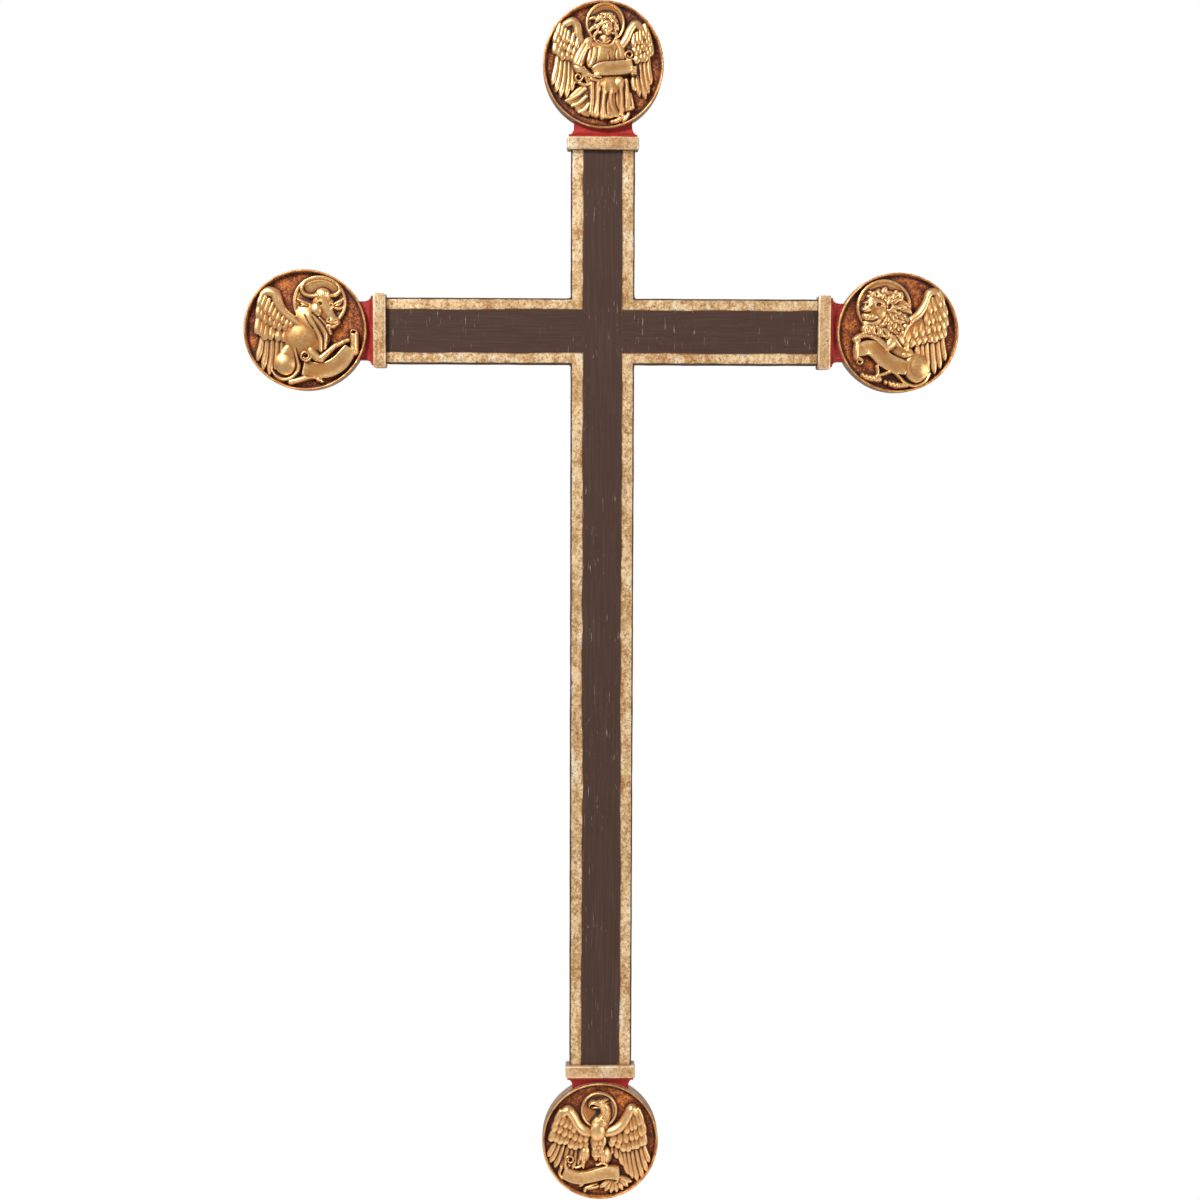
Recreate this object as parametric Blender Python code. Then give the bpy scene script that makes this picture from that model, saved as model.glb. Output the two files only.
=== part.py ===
"""Altar cross with four carved medallions, modelled in metres, +Z up.

The cross hangs on a wall: its back is the plane y = 0 and its front faces -Y.  The origin is on
that back plane, where the upright and the crossbar cross.  Every arm is built outwards in the
same order: beam end, gilded end plate, red hollow-moulded neck, turned medallion, carved relief,
with two dowels running through the first four.
"""
import math

import bmesh
import bpy
from mathutils import Matrix, Vector

MM = 0.001
GAP = 0.3 * MM                      # left between pieces that touch

# Beams
BEAM_DEPTH = 13.0 * MM
UPRIGHT_WIDTH = 52.5 * MM
CROSSBAR_WIDTH = 54.0 * MM
EDGE_ROUND = 0.9 * MM
OVERCUT = 10.0 * MM                 # how far a cutting tool reaches past the surface it opens

# Pieces at the end of an arm
PLATE_THICKNESS = 10.4 * MM
PLATE_OVERHANG = 3.2 * MM
PLATE_DEPTH = 17.0 * MM
PLATE_BEVEL = 1.4 * MM
NECK_WIDE = 56.0 * MM
NECK_NARROW = 47.5 * MM
NECK_FILLET = 1.4 * MM              # flat band next to the plate
NECK_HOLLOW = 7.0 * MM              # run of the hollow from wide to narrow
NECK_FRONT_WIDE = 15.6 * MM
NECK_FRONT_NARROW = 12.4 * MM
NECK_TAIL = 24.0 * MM               # run of the neck past the medallion's edge, before it is cut away
MEDALLION_ACROSS = 49.2 * MM        # half size across the arm
MEDALLION_DEPTH = 17.0 * MM
RECESS_DEPTH = 4.0 * MM
RIM = 2.0 * MM
RELIEF_BODY = 4.6 * MM              # height of the relief's main masses above the recess floor
RELIEF_TOP = 7.0 * MM               # height of its highest points

# name: direction in the XZ plane, beam end, medallion centre, medallion half size along the arm
ARMS = {
    "top": (Vector((0, 0, 1)), 147.0 * MM, 215.1 * MM, 51.2 * MM),
    "bottom": (Vector((0, 0, -1)), 617.6 * MM, 683.1 * MM, 50.5 * MM),
    "left": (Vector((-1, 0, 0)), 177.6 * MM, 243.8 * MM, 50.2 * MM),
    "right": (Vector((1, 0, 0)), 177.6 * MM, 243.8 * MM, 50.2 * MM),
}

# Dowels and hardware
DOWEL_RADIUS = 3.0 * MM
DOWEL_OFFSET = 13.0 * MM
DOWEL_Y = -6.5 * MM
DOWEL_IN_BEAM = 16.0 * MM
DOWEL_IN_MEDALLION = 9.0 * MM
HANGER_Z = 100.0 * MM
HANGER_SIZE = (17.0 * MM, 42.0 * MM)
HANGER_THICKNESS = 1.5 * MM
HANGER_SCREW_OFFSET = 15.5 * MM
HANGER_SCREW = (3.0 * MM, 1.3 * MM, 9.5 * MM)       # head radius, shank radius, length
KEYHOLE_RADIUS = 4.6 * MM
KEYHOLE_SLOT = 4.2 * MM
KEYHOLE_RISE = 8.0 * MM
POCKET_SIZE = (10.4 * MM, 18.0 * MM)
POCKET_DEPTH = 7.2 * MM
LAP_SCREW_X = 14.0 * MM
LAP_SCREW_Z = 13.0 * MM
LAP_SCREW = (3.4 * MM, 1.6 * MM, 11.0 * MM)
SCREW_SUNK = 0.05 * MM
DRIVE_SLOT = (0.8 * MM, 0.8 * MM)                   # width and depth

ROUND_SIDES = 72
SMALL_SIDES = 16


# ---------------------------------------------------------------- tools

def clear_scene():
    for old in list(bpy.data.objects):
        bpy.data.objects.remove(old, do_unlink=True)


def material(name, colour, roughness, metallic=0.0):
    made = bpy.data.materials.new(name)
    made.use_nodes = True
    shader = made.node_tree.nodes["Principled BSDF"]
    shader.inputs["Base Color"].default_value = (*colour, 1.0)
    shader.inputs["Roughness"].default_value = roughness
    shader.inputs["Metallic"].default_value = metallic
    made.diffuse_color = (*colour, 1.0)
    return made


def add(name, bm, look=None):
    """Turns a bmesh into a named object with outward faces."""
    bmesh.ops.recalc_face_normals(bm, faces=bm.faces)
    mesh = bpy.data.meshes.new(name)
    bm.to_mesh(mesh)
    bm.free()
    piece = bpy.data.objects.new(name, mesh)
    bpy.context.scene.collection.objects.link(piece)
    if look:
        mesh.materials.append(look)
    return piece


def boolean(target, tool, operation="DIFFERENCE"):
    """Applies a cut or a union to target and removes the tool."""
    step = target.modifiers.new(operation.lower(), "BOOLEAN")
    step.operation = operation
    step.solver = "EXACT"
    step.object = tool
    apply_modifiers(target)
    bpy.data.objects.remove(tool, do_unlink=True)


def apply_modifiers(target):
    bpy.context.view_layer.update()
    seen = target.evaluated_get(bpy.context.evaluated_depsgraph_get())
    mesh = bpy.data.meshes.new_from_object(seen)
    target.modifiers.clear()
    target.data = mesh


def bevel(target, width, segments=2, angle=40):
    step = target.modifiers.new("bevel", "BEVEL")
    step.width = width
    step.segments = segments
    step.limit_method = "ANGLE"
    step.angle_limit = math.radians(angle)
    apply_modifiers(target)


def box(name, low, high, look=None):
    bm = bmesh.new()
    size = Vector(high) - Vector(low)
    place = Matrix.Translation((Vector(high) + Vector(low)) / 2) @ Matrix.Diagonal((*size, 1))
    bmesh.ops.create_cube(bm, size=1, matrix=place)
    return add(name, bm, look)


def rod(name, start, end, radius, look=None, sides=SMALL_SIDES, end_radius=None):
    """A round bar from start to end; with end_radius it tapers."""
    start, end = Vector(start), Vector(end)
    turn = (end - start).to_track_quat("Z", "Y").to_matrix().to_4x4()
    bm = bmesh.new()
    bmesh.ops.create_cone(
        bm, cap_ends=True, segments=sides, depth=(end - start).length, radius1=radius,
        radius2=radius if end_radius is None else end_radius,
        matrix=Matrix.Translation((start + end) / 2) @ turn)
    return add(name, bm, look)


def smooth(piece, angle=35):
    piece.data.shade_smooth()
    piece.data.set_sharp_from_angle(angle=math.radians(angle))


def across(direction):
    """The unit vector across an arm, in the plane of the cross."""
    return Vector((-direction.z, 0, direction.x))


def beam_width(direction):
    return UPRIGHT_WIDTH if direction.z else CROSSBAR_WIDTH


# ---------------------------------------------------------------- beams

def upright(look):
    half = UPRIGHT_WIDTH / 2
    piece = box("upright", (-half, -BEAM_DEPTH, -ARMS["bottom"][1]), (half, 0, ARMS["top"][1]), look)
    bevel(piece, EDGE_ROUND)
    lap = CROSSBAR_WIDTH / 2 + GAP
    boolean(piece, box("lap_cut", (-half - OVERCUT, -BEAM_DEPTH / 2 - GAP / 2, -lap),
                       (half + OVERCUT, OVERCUT, lap)))
    width, height = HANGER_SIZE[0] / 2 + GAP, HANGER_SIZE[1] / 2 + GAP
    boolean(piece, box("seat_cut", (-width, -HANGER_THICKNESS - GAP, HANGER_Z - height),
                       (width, OVERCUT, HANGER_Z + height)))
    width, height = POCKET_SIZE[0] / 2, POCKET_SIZE[1] / 2
    boolean(piece, box("pocket_cut", (-width, -POCKET_DEPTH - HANGER_THICKNESS, HANGER_Z - height),
                       (width, OVERCUT, HANGER_Z + height)))
    return piece


def crossbar(look):
    half = CROSSBAR_WIDTH / 2
    reach = ARMS["right"][1]
    piece = box("crossbar", (-reach, -BEAM_DEPTH, -half), (reach, 0, half), look)
    bevel(piece, EDGE_ROUND)
    lap = UPRIGHT_WIDTH / 2 + GAP
    boolean(piece, box("lap_cut", (-lap, -BEAM_DEPTH - OVERCUT, -half - OVERCUT),
                       (lap, -BEAM_DEPTH / 2 + GAP / 2, half + OVERCUT)))
    return piece


# ---------------------------------------------------------------- arm ends

def end_plate(name, direction, start, look):
    side = across(direction)
    half = beam_width(direction) / 2 + PLATE_OVERHANG
    corner_a = direction * (start + GAP) - side * half
    corner_b = direction * (start + GAP + PLATE_THICKNESS) + side * half
    low = (min(corner_a.x, corner_b.x), -PLATE_DEPTH, min(corner_a.z, corner_b.z))
    high = (max(corner_a.x, corner_b.x), 0, max(corner_a.z, corner_b.z))
    piece = box(name, low, high, look)
    bevel(piece, PLATE_BEVEL)
    return piece


def hollow(run, wide, narrow):
    """Half width (or front) of the neck at a distance run from the plate: a quarter-round hollow."""
    if run <= NECK_FILLET:
        return wide
    turn = min(1.0, (run - NECK_FILLET) / NECK_HOLLOW)
    return narrow + (wide - narrow) * (1 - math.sqrt(1 - (1 - turn) ** 2)) if turn < 1 else narrow


def medallion_solid(name, centre, direction, half_along, low, high, grow=0.0, look=None):
    """An oval block whose long half size lies along the arm, from y = -low to y = -high."""
    side = across(direction)
    bm = bmesh.new()
    rings = []
    for y in (-low, -high):
        ring = []
        for k in range(ROUND_SIDES):
            a = 2 * math.pi * k / ROUND_SIDES
            point = centre + direction * (half_along + grow) * math.cos(a)
            point = point + side * (MEDALLION_ACROSS + grow) * math.sin(a)
            ring.append(bm.verts.new((point.x, y, point.z)))
        rings.append(ring)
    bm.faces.new(rings[0])
    bm.faces.new(rings[1])
    for k in range(ROUND_SIDES):
        after = (k + 1) % ROUND_SIDES
        bm.faces.new((rings[0][k], rings[0][after], rings[1][after], rings[1][k]))
    return add(name, bm, look)


def neck(name, direction, start, reach, half_along, look):
    side = across(direction)
    foot = start + 2 * GAP + PLATE_THICKNESS
    steps = [0, NECK_FILLET] + [NECK_FILLET + NECK_HOLLOW * k / 6 for k in (0.15, 1, 2, 3, 4.5, 6)]
    steps.append(reach - half_along - foot + NECK_TAIL)
    bm = bmesh.new()
    rings = []
    for run in steps:
        half = hollow(run, NECK_WIDE / 2, NECK_NARROW / 2)
        front = hollow(run, NECK_FRONT_WIDE, NECK_FRONT_NARROW)
        middle = direction * (foot + run)
        ring = []
        for sign, y in ((-1, 0), (1, 0), (1, -front), (-1, -front)):
            point = middle + side * half * sign
            ring.append(bm.verts.new((point.x, y, point.z)))
        rings.append(ring)
    bm.faces.new(rings[0])
    bm.faces.new(rings[-1])
    for near, far in zip(rings, rings[1:]):
        for k in range(4):
            after = (k + 1) % 4
            bm.faces.new((near[k], near[after], far[after], far[k]))
    piece = add(name, bm, look)
    centre = direction * reach
    boolean(piece, medallion_solid("saddle_cut", centre, direction, half_along, -OVERCUT, 4 * OVERCUT, GAP))
    smooth(piece)
    return piece


def medallion(name, direction, reach, half_along, look):
    centre = direction * reach
    piece = medallion_solid(name, centre, direction, half_along, 0, MEDALLION_DEPTH, look=look)
    bevel(piece, 0.8 * MM, 2, 60)
    floor = MEDALLION_DEPTH - RECESS_DEPTH
    boolean(piece, medallion_solid("recess_cut", centre, direction, half_along, floor, 4 * OVERCUT, -RIM))
    smooth(piece)
    return piece


def dowels(arm, direction, start, reach, half_along, host_pieces, look):
    """Two dowels through beam, plate, neck and medallion, and the holes they sit in."""
    side = across(direction)
    inner = reach - half_along * math.sqrt(1 - (DOWEL_OFFSET / MEDALLION_ACROSS) ** 2)
    made = []
    for number, sign in ((1, -1), (2, 1)):
        line = side * DOWEL_OFFSET * sign + Vector((0, DOWEL_Y, 0))
        low = direction * (start - DOWEL_IN_BEAM) + line
        high = direction * (inner + DOWEL_IN_MEDALLION) + line
        for host in host_pieces:
            hole = rod("hole_cut", low - direction * GAP, high + direction * GAP, DOWEL_RADIUS + GAP)
            boolean(host, hole)
        piece = rod(f"{arm}_dowel_{number}", low, high, DOWEL_RADIUS, look)
        smooth(piece)
        made.append(piece)
    return made


# ---------------------------------------------------------------- hardware

def keyhole_cut(name, y_low, y_high):
    """The keyhole: a round hole for the nail's head with a slot rising from it."""
    low = HANGER_Z - KEYHOLE_RISE / 2
    hole = rod(name, (0, y_low, low), (0, y_high, low), KEYHOLE_RADIUS, sides=24)
    half = KEYHOLE_SLOT / 2
    slot = box("slot_tool", (-half, y_low, low), (half, y_high, low + KEYHOLE_RISE))
    boolean(hole, slot, "UNION")
    top = rod("slot_end_tool", (0, y_low, low + KEYHOLE_RISE), (0, y_high, low + KEYHOLE_RISE), half)
    boolean(hole, top, "UNION")
    return hole


def hanger_plate(look):
    width, height = HANGER_SIZE[0] / 2, HANGER_SIZE[1] / 2
    piece = box("hanger_plate", (-width, -HANGER_THICKNESS, HANGER_Z - height),
                (width, 0, HANGER_Z + height), look)
    bevel(piece, 0.25 * MM, 1)
    boolean(piece, keyhole_cut("keyhole_tool", -OVERCUT, OVERCUT))
    return piece


def screw(name, x, z, sizes, hosts, look):
    """A countersunk wood screw driven in from the back, with its hole and countersink."""
    head_radius, shank_radius, length = sizes
    slot_width, slot_depth = DRIVE_SLOT
    sink = SCREW_SUNK + head_radius - shank_radius
    head = rod(name, (x, -SCREW_SUNK, z), (x, -sink, z), head_radius, look, end_radius=shank_radius)
    shank = rod("shank", (x, SCREW_SUNK - sink, z), (x, -length, z), shank_radius)
    boolean(head, shank, "UNION")
    drive = box("slot_cut", (x - head_radius, -slot_depth, z - slot_width / 2),
                (x + head_radius, OVERCUT, z + slot_width / 2))
    boolean(head, drive)
    for host in hosts:
        cut = rod("sink_cut", (x, GAP, z), (x, -sink, z), head_radius + 2 * GAP,
                  end_radius=shank_radius + GAP)
        boolean(host, cut)
        cut = rod("hole_cut", (x, GAP, z), (x, -length - GAP, z), shank_radius + GAP)
        boolean(host, cut)
    smooth(head)
    return head


# ---------------------------------------------------------------- reliefs

def slab(outline, height, place, round_edge=0.9 * MM):
    """A flat carved mass: an outline in medallion units, raised from the recess floor."""
    bm = bmesh.new()
    base = [bm.verts.new(place(u, v, 0)) for u, v in outline]
    face = bm.faces.new(base)
    raised = bmesh.ops.extrude_face_region(bm, geom=[face])["geom"]
    lifted = [g for g in raised if isinstance(g, bmesh.types.BMVert)]
    bmesh.ops.translate(bm, verts=lifted, vec=(0, -height, 0))
    top = [g for g in raised if isinstance(g, bmesh.types.BMFace)]
    bmesh.ops.bevel(bm, geom=list(top[0].edges), offset=round_edge, segments=1, affect="EDGES")
    return add("slab", bm)


def dome(u, v, wide, high, height, place, sides=16):
    """A rounded mass: half an ellipsoid standing on the recess floor."""
    bm = bmesh.new()
    bmesh.ops.create_uvsphere(bm, u_segments=sides, v_segments=8, radius=1)
    for vert in bm.verts:
        x, z, y = vert.co
        vert.co = place(u + x * wide, v + z * high, max(0.0, y) * height)
    bmesh.ops.remove_doubles(bm, verts=bm.verts, dist=1e-7)
    bmesh.ops.dissolve_degenerate(bm, edges=bm.edges, dist=1e-7)
    bmesh.ops.contextual_create(bm, geom=[e for e in bm.edges if e.is_boundary])
    return add("dome", bm)


# Section of a halo: share of its radius, height in mm over the recess floor
HALO_SECTION = [(1.0, 0.0), (1.0, 2.6), (0.95, 3.1), (0.88, 2.6), (0.86, 1.8)]


def halo(u, v, radius, place, sides=36):
    """A dished halo: a thin disc with a raised round edge."""
    bm = bmesh.new()
    rings = []
    for share, height in HALO_SECTION:
        ring = []
        for k in range(sides):
            a = 2 * math.pi * k / sides
            r = radius * share
            ring.append(bm.verts.new(place(u + r * math.cos(a), v + r * math.sin(a), height * MM)))
        rings.append(ring)
    bm.faces.new(rings[0])
    bm.faces.new(rings[-1])
    for near, far in zip(rings, rings[1:]):
        for k in range(sides):
            after = (k + 1) % sides
            bm.faces.new((near[k], near[after], far[after], far[k]))
    return add("halo", bm)


ANGEL = {
    "halo": (0.026, 0.648, 0.31),
    "slabs": [
        ([(-0.47, 0.73), (-0.64, 0.69), (-0.75, 0.54), (-0.79, 0.3), (-0.83, -0.3), (-0.7, -0.49),
          (-0.6, -0.48), (-0.5, -0.2), (-0.3, 0.0), (-0.2, 0.36), (-0.37, 0.6)], 0.62),
        ([(0.42, 0.67), (0.54, 0.71), (0.66, 0.62), (0.76, 0.2), (0.79, -0.28), (0.71, -0.51),
          (0.58, -0.45), (0.3, -0.1), (0.15, 0.3), (0.41, 0.47)], 0.62),
        ([(-0.18, 0.37), (0.2, 0.34), (0.32, 0.1), (0.52, 0.1), (0.56, -0.12), (0.39, -0.21),
          (0.51, -0.69), (0.32, -0.9), (0.14, -0.89), (-0.18, -0.8), (-0.39, -0.75),
          (-0.64, -0.58), (-0.47, -0.39), (-0.29, -0.34), (-0.46, -0.05), (-0.32, 0.31)], 1.0),
    ],
    "domes": [(0.05, 0.6, 0.17, 0.22, 1.25), (0.0, 0.12, 0.3, 0.34, 1.3), (0.05, -0.32, 0.34, 0.2, 1.5)],
}
OX = {
    "halo": (0.237, 0.466, 0.43),
    "slabs": [
        ([(-0.57, 0.7), (-0.75, 0.4), (-0.79, -0.03), (-0.77, -0.48), (-0.59, -0.7),
          (-0.42, -0.57), (-0.2, -0.14), (0.0, 0.0), (-0.06, 0.12), (-0.31, 0.31), (-0.42, 0.63)], 0.75),
        ([(0.08, 0.31), (0.3, 0.4), (0.45, 0.06), (0.33, -0.28), (0.57, -0.16), (0.86, -0.02),
          (0.86, -0.34), (0.73, -0.44), (0.4, -0.8), (-0.24, -0.88), (-0.5, -0.74), (-0.35, -0.44),
          (-0.13, -0.05)], 1.0),
    ],
    "domes": [(0.3, 0.3, 0.17, 0.3, 1.4), (0.08, -0.08, 0.26, 0.36, 1.35)],
}
LION = {
    "halo": (-0.233, 0.44, 0.44),
    "slabs": [
        ([(0.0, 0.1), (0.2, 0.16), (0.44, 0.47), (0.47, 0.66), (0.61, 0.74), (0.7, 0.55),
          (0.78, 0.3), (0.78, -0.44), (0.61, -0.66), (0.47, -0.57), (0.2, -0.4), (0.0, -0.2)], 0.75),
        ([(-0.32, 0.1), (-0.74, -0.13), (-0.72, -0.43), (-0.45, -0.44), (-0.32, -0.63),
          (-0.58, -0.7), (-0.3, -0.84), (0.1, -0.9), (0.31, -0.87), (0.53, -0.71), (0.31, -0.3),
          (0.12, 0.1)], 1.0),
    ],
    "domes": [(-0.22, 0.34, 0.35, 0.37, 1.4)],
}
EAGLE = {
    "halo": (-0.02, 0.528, 0.3),
    "slabs": [
        ([(-0.54, 0.61), (-0.71, 0.53), (-0.78, 0.33), (-0.86, -0.3), (-0.8, -0.4), (-0.5, -0.4),
          (-0.1, -0.15), (-0.1, 0.2), (-0.4, 0.28), (-0.46, 0.43)], 0.75),
        ([(0.54, 0.64), (0.67, 0.53), (0.77, 0.0), (0.83, -0.35), (0.66, -0.66), (0.54, -0.56),
          (0.1, -0.2), (0.05, 0.2), (0.32, 0.28), (0.44, 0.43)], 0.75),
        ([(-0.14, 0.3), (0.12, 0.44), (0.15, 0.0), (0.2, -0.4), (0.31, -0.43), (0.55, -0.73),
          (0.32, -0.87), (-0.24, -0.87), (-0.56, -0.73), (-0.68, -0.56), (-0.6, -0.28),
          (-0.28, -0.3), (-0.2, -0.04)], 0.95),
    ],
    "domes": [(-0.02, 0.6, 0.17, 0.13, 1.2), (-0.02, 0.08, 0.17, 0.4, 1.45)],
}


def relief(name, design, direction, reach, half_along, look):
    """Joins a halo, flat masses and rounded masses into one carving."""
    centre = direction * reach
    half_x = MEDALLION_ACROSS if direction.z else half_along
    half_z = half_along if direction.z else MEDALLION_ACROSS
    floor = MEDALLION_DEPTH - RECESS_DEPTH + GAP

    def place(u, v, height):
        return Vector((centre.x + u * half_x, -floor - height, centre.z + v * half_z))

    piece = halo(*design["halo"], place)
    piece.name = name
    for outline, share in design["slabs"]:
        boolean(piece, slab(outline, RELIEF_BODY * share, place), "UNION")
    for u, v, wide, high, share in design["domes"]:
        boolean(piece, dome(u, v, wide, high, min(RELIEF_BODY * share, RELIEF_TOP), place), "UNION")
    piece.data.materials.clear()
    piece.data.materials.append(look)
    return piece


# ---------------------------------------------------------------- assembly

def build():
    clear_scene()
    painted = material("painted_wood", (0.10, 0.06, 0.045), 0.7)
    gilded = material("gilded_wood", (0.78, 0.55, 0.26), 0.4, 0.6)
    red = material("red_painted_wood", (0.42, 0.03, 0.02), 0.6)
    glazed = material("glazed_wood", (0.30, 0.11, 0.04), 0.55)
    bright = material("bright_gilding", (0.88, 0.66, 0.34), 0.35, 0.7)
    beech = material("dowel_wood", (0.62, 0.45, 0.28), 0.7)
    steel = material("zinc_steel", (0.55, 0.55, 0.53), 0.4, 1.0)

    beams = {"upright": upright(painted), "crossbar": crossbar(painted)}
    designs = {"top": ("angel_relief", ANGEL), "left": ("ox_relief", OX),
               "right": ("lion_relief", LION), "bottom": ("eagle_relief", EAGLE)}
    for arm, (direction, start, reach, half_along) in ARMS.items():
        beam = beams["upright" if direction.z else "crossbar"]
        plate = end_plate(f"{arm}_end_plate", direction, start, gilded)
        collar = neck(f"{arm}_neck", direction, start, reach, half_along, red)
        disc = medallion(f"{arm}_medallion", direction, reach, half_along, glazed)
        dowels(arm, direction, start, reach, half_along, (beam, plate, collar, disc), beech)
        name, design = designs[arm]
        relief(name, design, direction, reach, half_along, bright)

    plate = hanger_plate(steel)
    for number, sign in ((1, 1), (2, -1)):
        screw(f"hanger_screw_{number}", 0, HANGER_Z + sign * HANGER_SCREW_OFFSET, HANGER_SCREW,
              (plate, beams["upright"]), steel)
    for number, sign in ((1, 1), (2, -1)):
        screw(f"lap_screw_{number}", sign * LAP_SCREW_X, sign * LAP_SCREW_Z, LAP_SCREW,
              (beams["crossbar"], beams["upright"]), steel)


build()
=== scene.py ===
"""The looks of a gilded and painted altar cross that hangs on a wall.

Everything is in metres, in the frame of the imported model: back plane y = 0, front towards -Y.
The four carvings are height fields sculpted from strokes, feathers, masses and ribbons.
"""

from math import cos, pi, radians, sin

import bmesh
import bpy
import numpy as np
from mathutils import Matrix, Quaternion, Vector, noise


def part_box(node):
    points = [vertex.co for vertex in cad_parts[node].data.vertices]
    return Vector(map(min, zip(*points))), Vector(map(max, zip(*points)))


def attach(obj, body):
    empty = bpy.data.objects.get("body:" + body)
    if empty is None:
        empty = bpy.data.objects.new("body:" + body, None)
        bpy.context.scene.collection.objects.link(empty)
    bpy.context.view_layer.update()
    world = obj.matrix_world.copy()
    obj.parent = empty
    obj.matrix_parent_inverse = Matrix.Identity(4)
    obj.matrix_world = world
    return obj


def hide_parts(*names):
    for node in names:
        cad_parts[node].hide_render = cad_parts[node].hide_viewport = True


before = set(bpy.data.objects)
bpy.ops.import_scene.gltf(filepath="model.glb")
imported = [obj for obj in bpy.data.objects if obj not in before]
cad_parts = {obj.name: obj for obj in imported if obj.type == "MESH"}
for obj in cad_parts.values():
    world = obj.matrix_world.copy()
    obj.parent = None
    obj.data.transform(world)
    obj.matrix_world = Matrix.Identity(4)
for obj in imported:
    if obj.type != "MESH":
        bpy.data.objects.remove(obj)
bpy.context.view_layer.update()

MM = 0.001
BODY = "root"


# ---------------------------------------------------------------- shader helpers

class Shader:
    """A material under construction, with short calls for the nodes used here."""

    def __init__(self, name):
        self.material = bpy.data.materials.new(name)
        self.material.use_nodes = True
        self.tree = self.material.node_tree
        self.bsdf = self.tree.nodes["Principled BSDF"]
        self.place = self.new("ShaderNodeTexCoord").outputs["Object"]

    def new(self, kind, **settings):
        node = self.tree.nodes.new(kind)
        for key, value in settings.items():
            setattr(node, key, value)
        return node

    def feed(self, socket, value):
        if isinstance(value, bpy.types.NodeSocket):
            self.tree.links.new(value, socket)
        elif isinstance(value, tuple) and len(value) == 3 and len(socket.default_value) == 4:
            socket.default_value = (*value, 1.0)
        else:
            socket.default_value = value

    def stretch(self, x, y, z):
        """Object coordinates scaled along each axis, for grain and brush strokes."""
        node = self.new("ShaderNodeMapping")
        self.feed(node.inputs["Vector"], self.place)
        node.inputs["Scale"].default_value = (x, y, z)
        return node.outputs["Vector"]

    def noise(self, size_mm, detail=3.0, rough=0.55, vector=None, distortion=0.0):
        node = self.new("ShaderNodeTexNoise")
        self.feed(node.inputs["Vector"], vector or self.place)
        node.inputs["Scale"].default_value = 1.0 / (size_mm * MM)
        node.inputs["Detail"].default_value = detail
        node.inputs["Roughness"].default_value = rough
        node.inputs["Distortion"].default_value = distortion
        return node.outputs["Fac"]

    def math(self, operation, a, b=0.0):
        node = self.new("ShaderNodeMath", operation=operation)
        self.feed(node.inputs[0], a)
        self.feed(node.inputs[1], b)
        return node.outputs[0]

    def times(self, a, b):
        return self.math("MULTIPLY", a, b)

    def plus(self, a, b):
        return self.math("ADD", a, b)

    def minus(self, a, b):
        return self.math("SUBTRACT", a, b)

    def size(self, a):
        return self.math("ABSOLUTE", a)

    def band(self, value, low, high, to_low=0.0, to_high=1.0):
        """A smooth step from low to high."""
        node = self.new("ShaderNodeMapRange", interpolation_type="SMOOTHSTEP")
        for key, given in (("Value", value), ("From Min", low), ("From Max", high), ("To Min", to_low),
                           ("To Max", to_high)):
            self.feed(node.inputs[key], given)
        return node.outputs["Result"]

    def mix(self, share, a, b):
        node = self.new("ShaderNodeMix", data_type="RGBA")
        self.feed(node.inputs["Factor"], share)
        self.feed(node.inputs[6], a)
        self.feed(node.inputs[7], b)
        return node.outputs[2]

    def blend(self, share, a, b):
        node = self.new("ShaderNodeMix", data_type="FLOAT")
        for socket, value in zip((node.inputs["Factor"], node.inputs[2], node.inputs[3]), (share, a, b)):
            self.feed(socket, value)
        return node.outputs[0]

    def axes(self):
        node = self.new("ShaderNodeSeparateXYZ")
        self.feed(node.inputs[0], self.place)
        return node.outputs[0], node.outputs[1], node.outputs[2]

    def attribute(self, name):
        return self.new("ShaderNodeAttribute", attribute_name=name).outputs["Fac"]

    def bump(self, height, depth_mm, normal=None):
        node = self.new("ShaderNodeBump")
        node.inputs["Strength"].default_value = 1.0
        node.inputs["Distance"].default_value = depth_mm * MM
        self.feed(node.inputs["Height"], height)
        if normal:
            self.feed(node.inputs["Normal"], normal)
        return node.outputs["Normal"]

    def finish(self, colour, roughness, metallic, normal=None):
        self.feed(self.bsdf.inputs["Base Color"], colour)
        self.feed(self.bsdf.inputs["Roughness"], roughness)
        self.feed(self.bsdf.inputs["Metallic"], metallic)
        if normal:
            self.feed(self.bsdf.inputs["Normal"], normal)
        return self.material


# ---------------------------------------------------------------- colours (linear); pairs run dark to light

GOLD_PALE = (0.70, 0.42, 0.18)
GOLD_LIGHT = (0.95, 0.67, 0.37)
GOLD_BRIGHT = (1.0, 0.86, 0.62)
GOLD_WARM = (0.52, 0.235, 0.075)
GOLD_DEEP = (0.27, 0.105, 0.030)
BOLE = (0.20, 0.045, 0.018)
FIELD = (0.050, 0.023, 0.015), (0.078, 0.041, 0.028)
FLECK = (0.42, 0.31, 0.25)
BEAM_SIDE = (0.030, 0.017, 0.012), (0.075, 0.045, 0.032)
PLATE_SIDE = (0.26, 0.18, 0.125), (0.42, 0.31, 0.23)
DISC_SIDE = (0.24, 0.155, 0.11), (0.42, 0.30, 0.225)
WOOD = (0.16, 0.08, 0.038), (0.30, 0.17, 0.085)
RED = (0.29, 0.013, 0.008), (0.46, 0.026, 0.017)
# painted shade for the red neck
RED_PAINTED_SHADE = (0.13, 0.008, 0.010)
RED_DRY = (0.66, 0.27, 0.26)
GLAZE = (0.016, 0.003, 0.0015), (0.150, 0.029, 0.006)
GLAZE_BRIGHT = (0.60, 0.18, 0.032)
RIM_GOLD = (0.52, 0.19, 0.045), (0.88, 0.48, 0.17)
RELIEF_GOLD = (0.72, 0.36, 0.115), (0.96, 0.61, 0.28)
# painted highlight for the carving's crests
RELIEF_PAINTED_HIGHLIGHT = (1.0, 0.80, 0.47)
# glaze in the carving's recesses, also carrying painted shade
RELIEF_AMBER = (0.33, 0.105, 0.016), (0.52, 0.19, 0.040)
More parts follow.
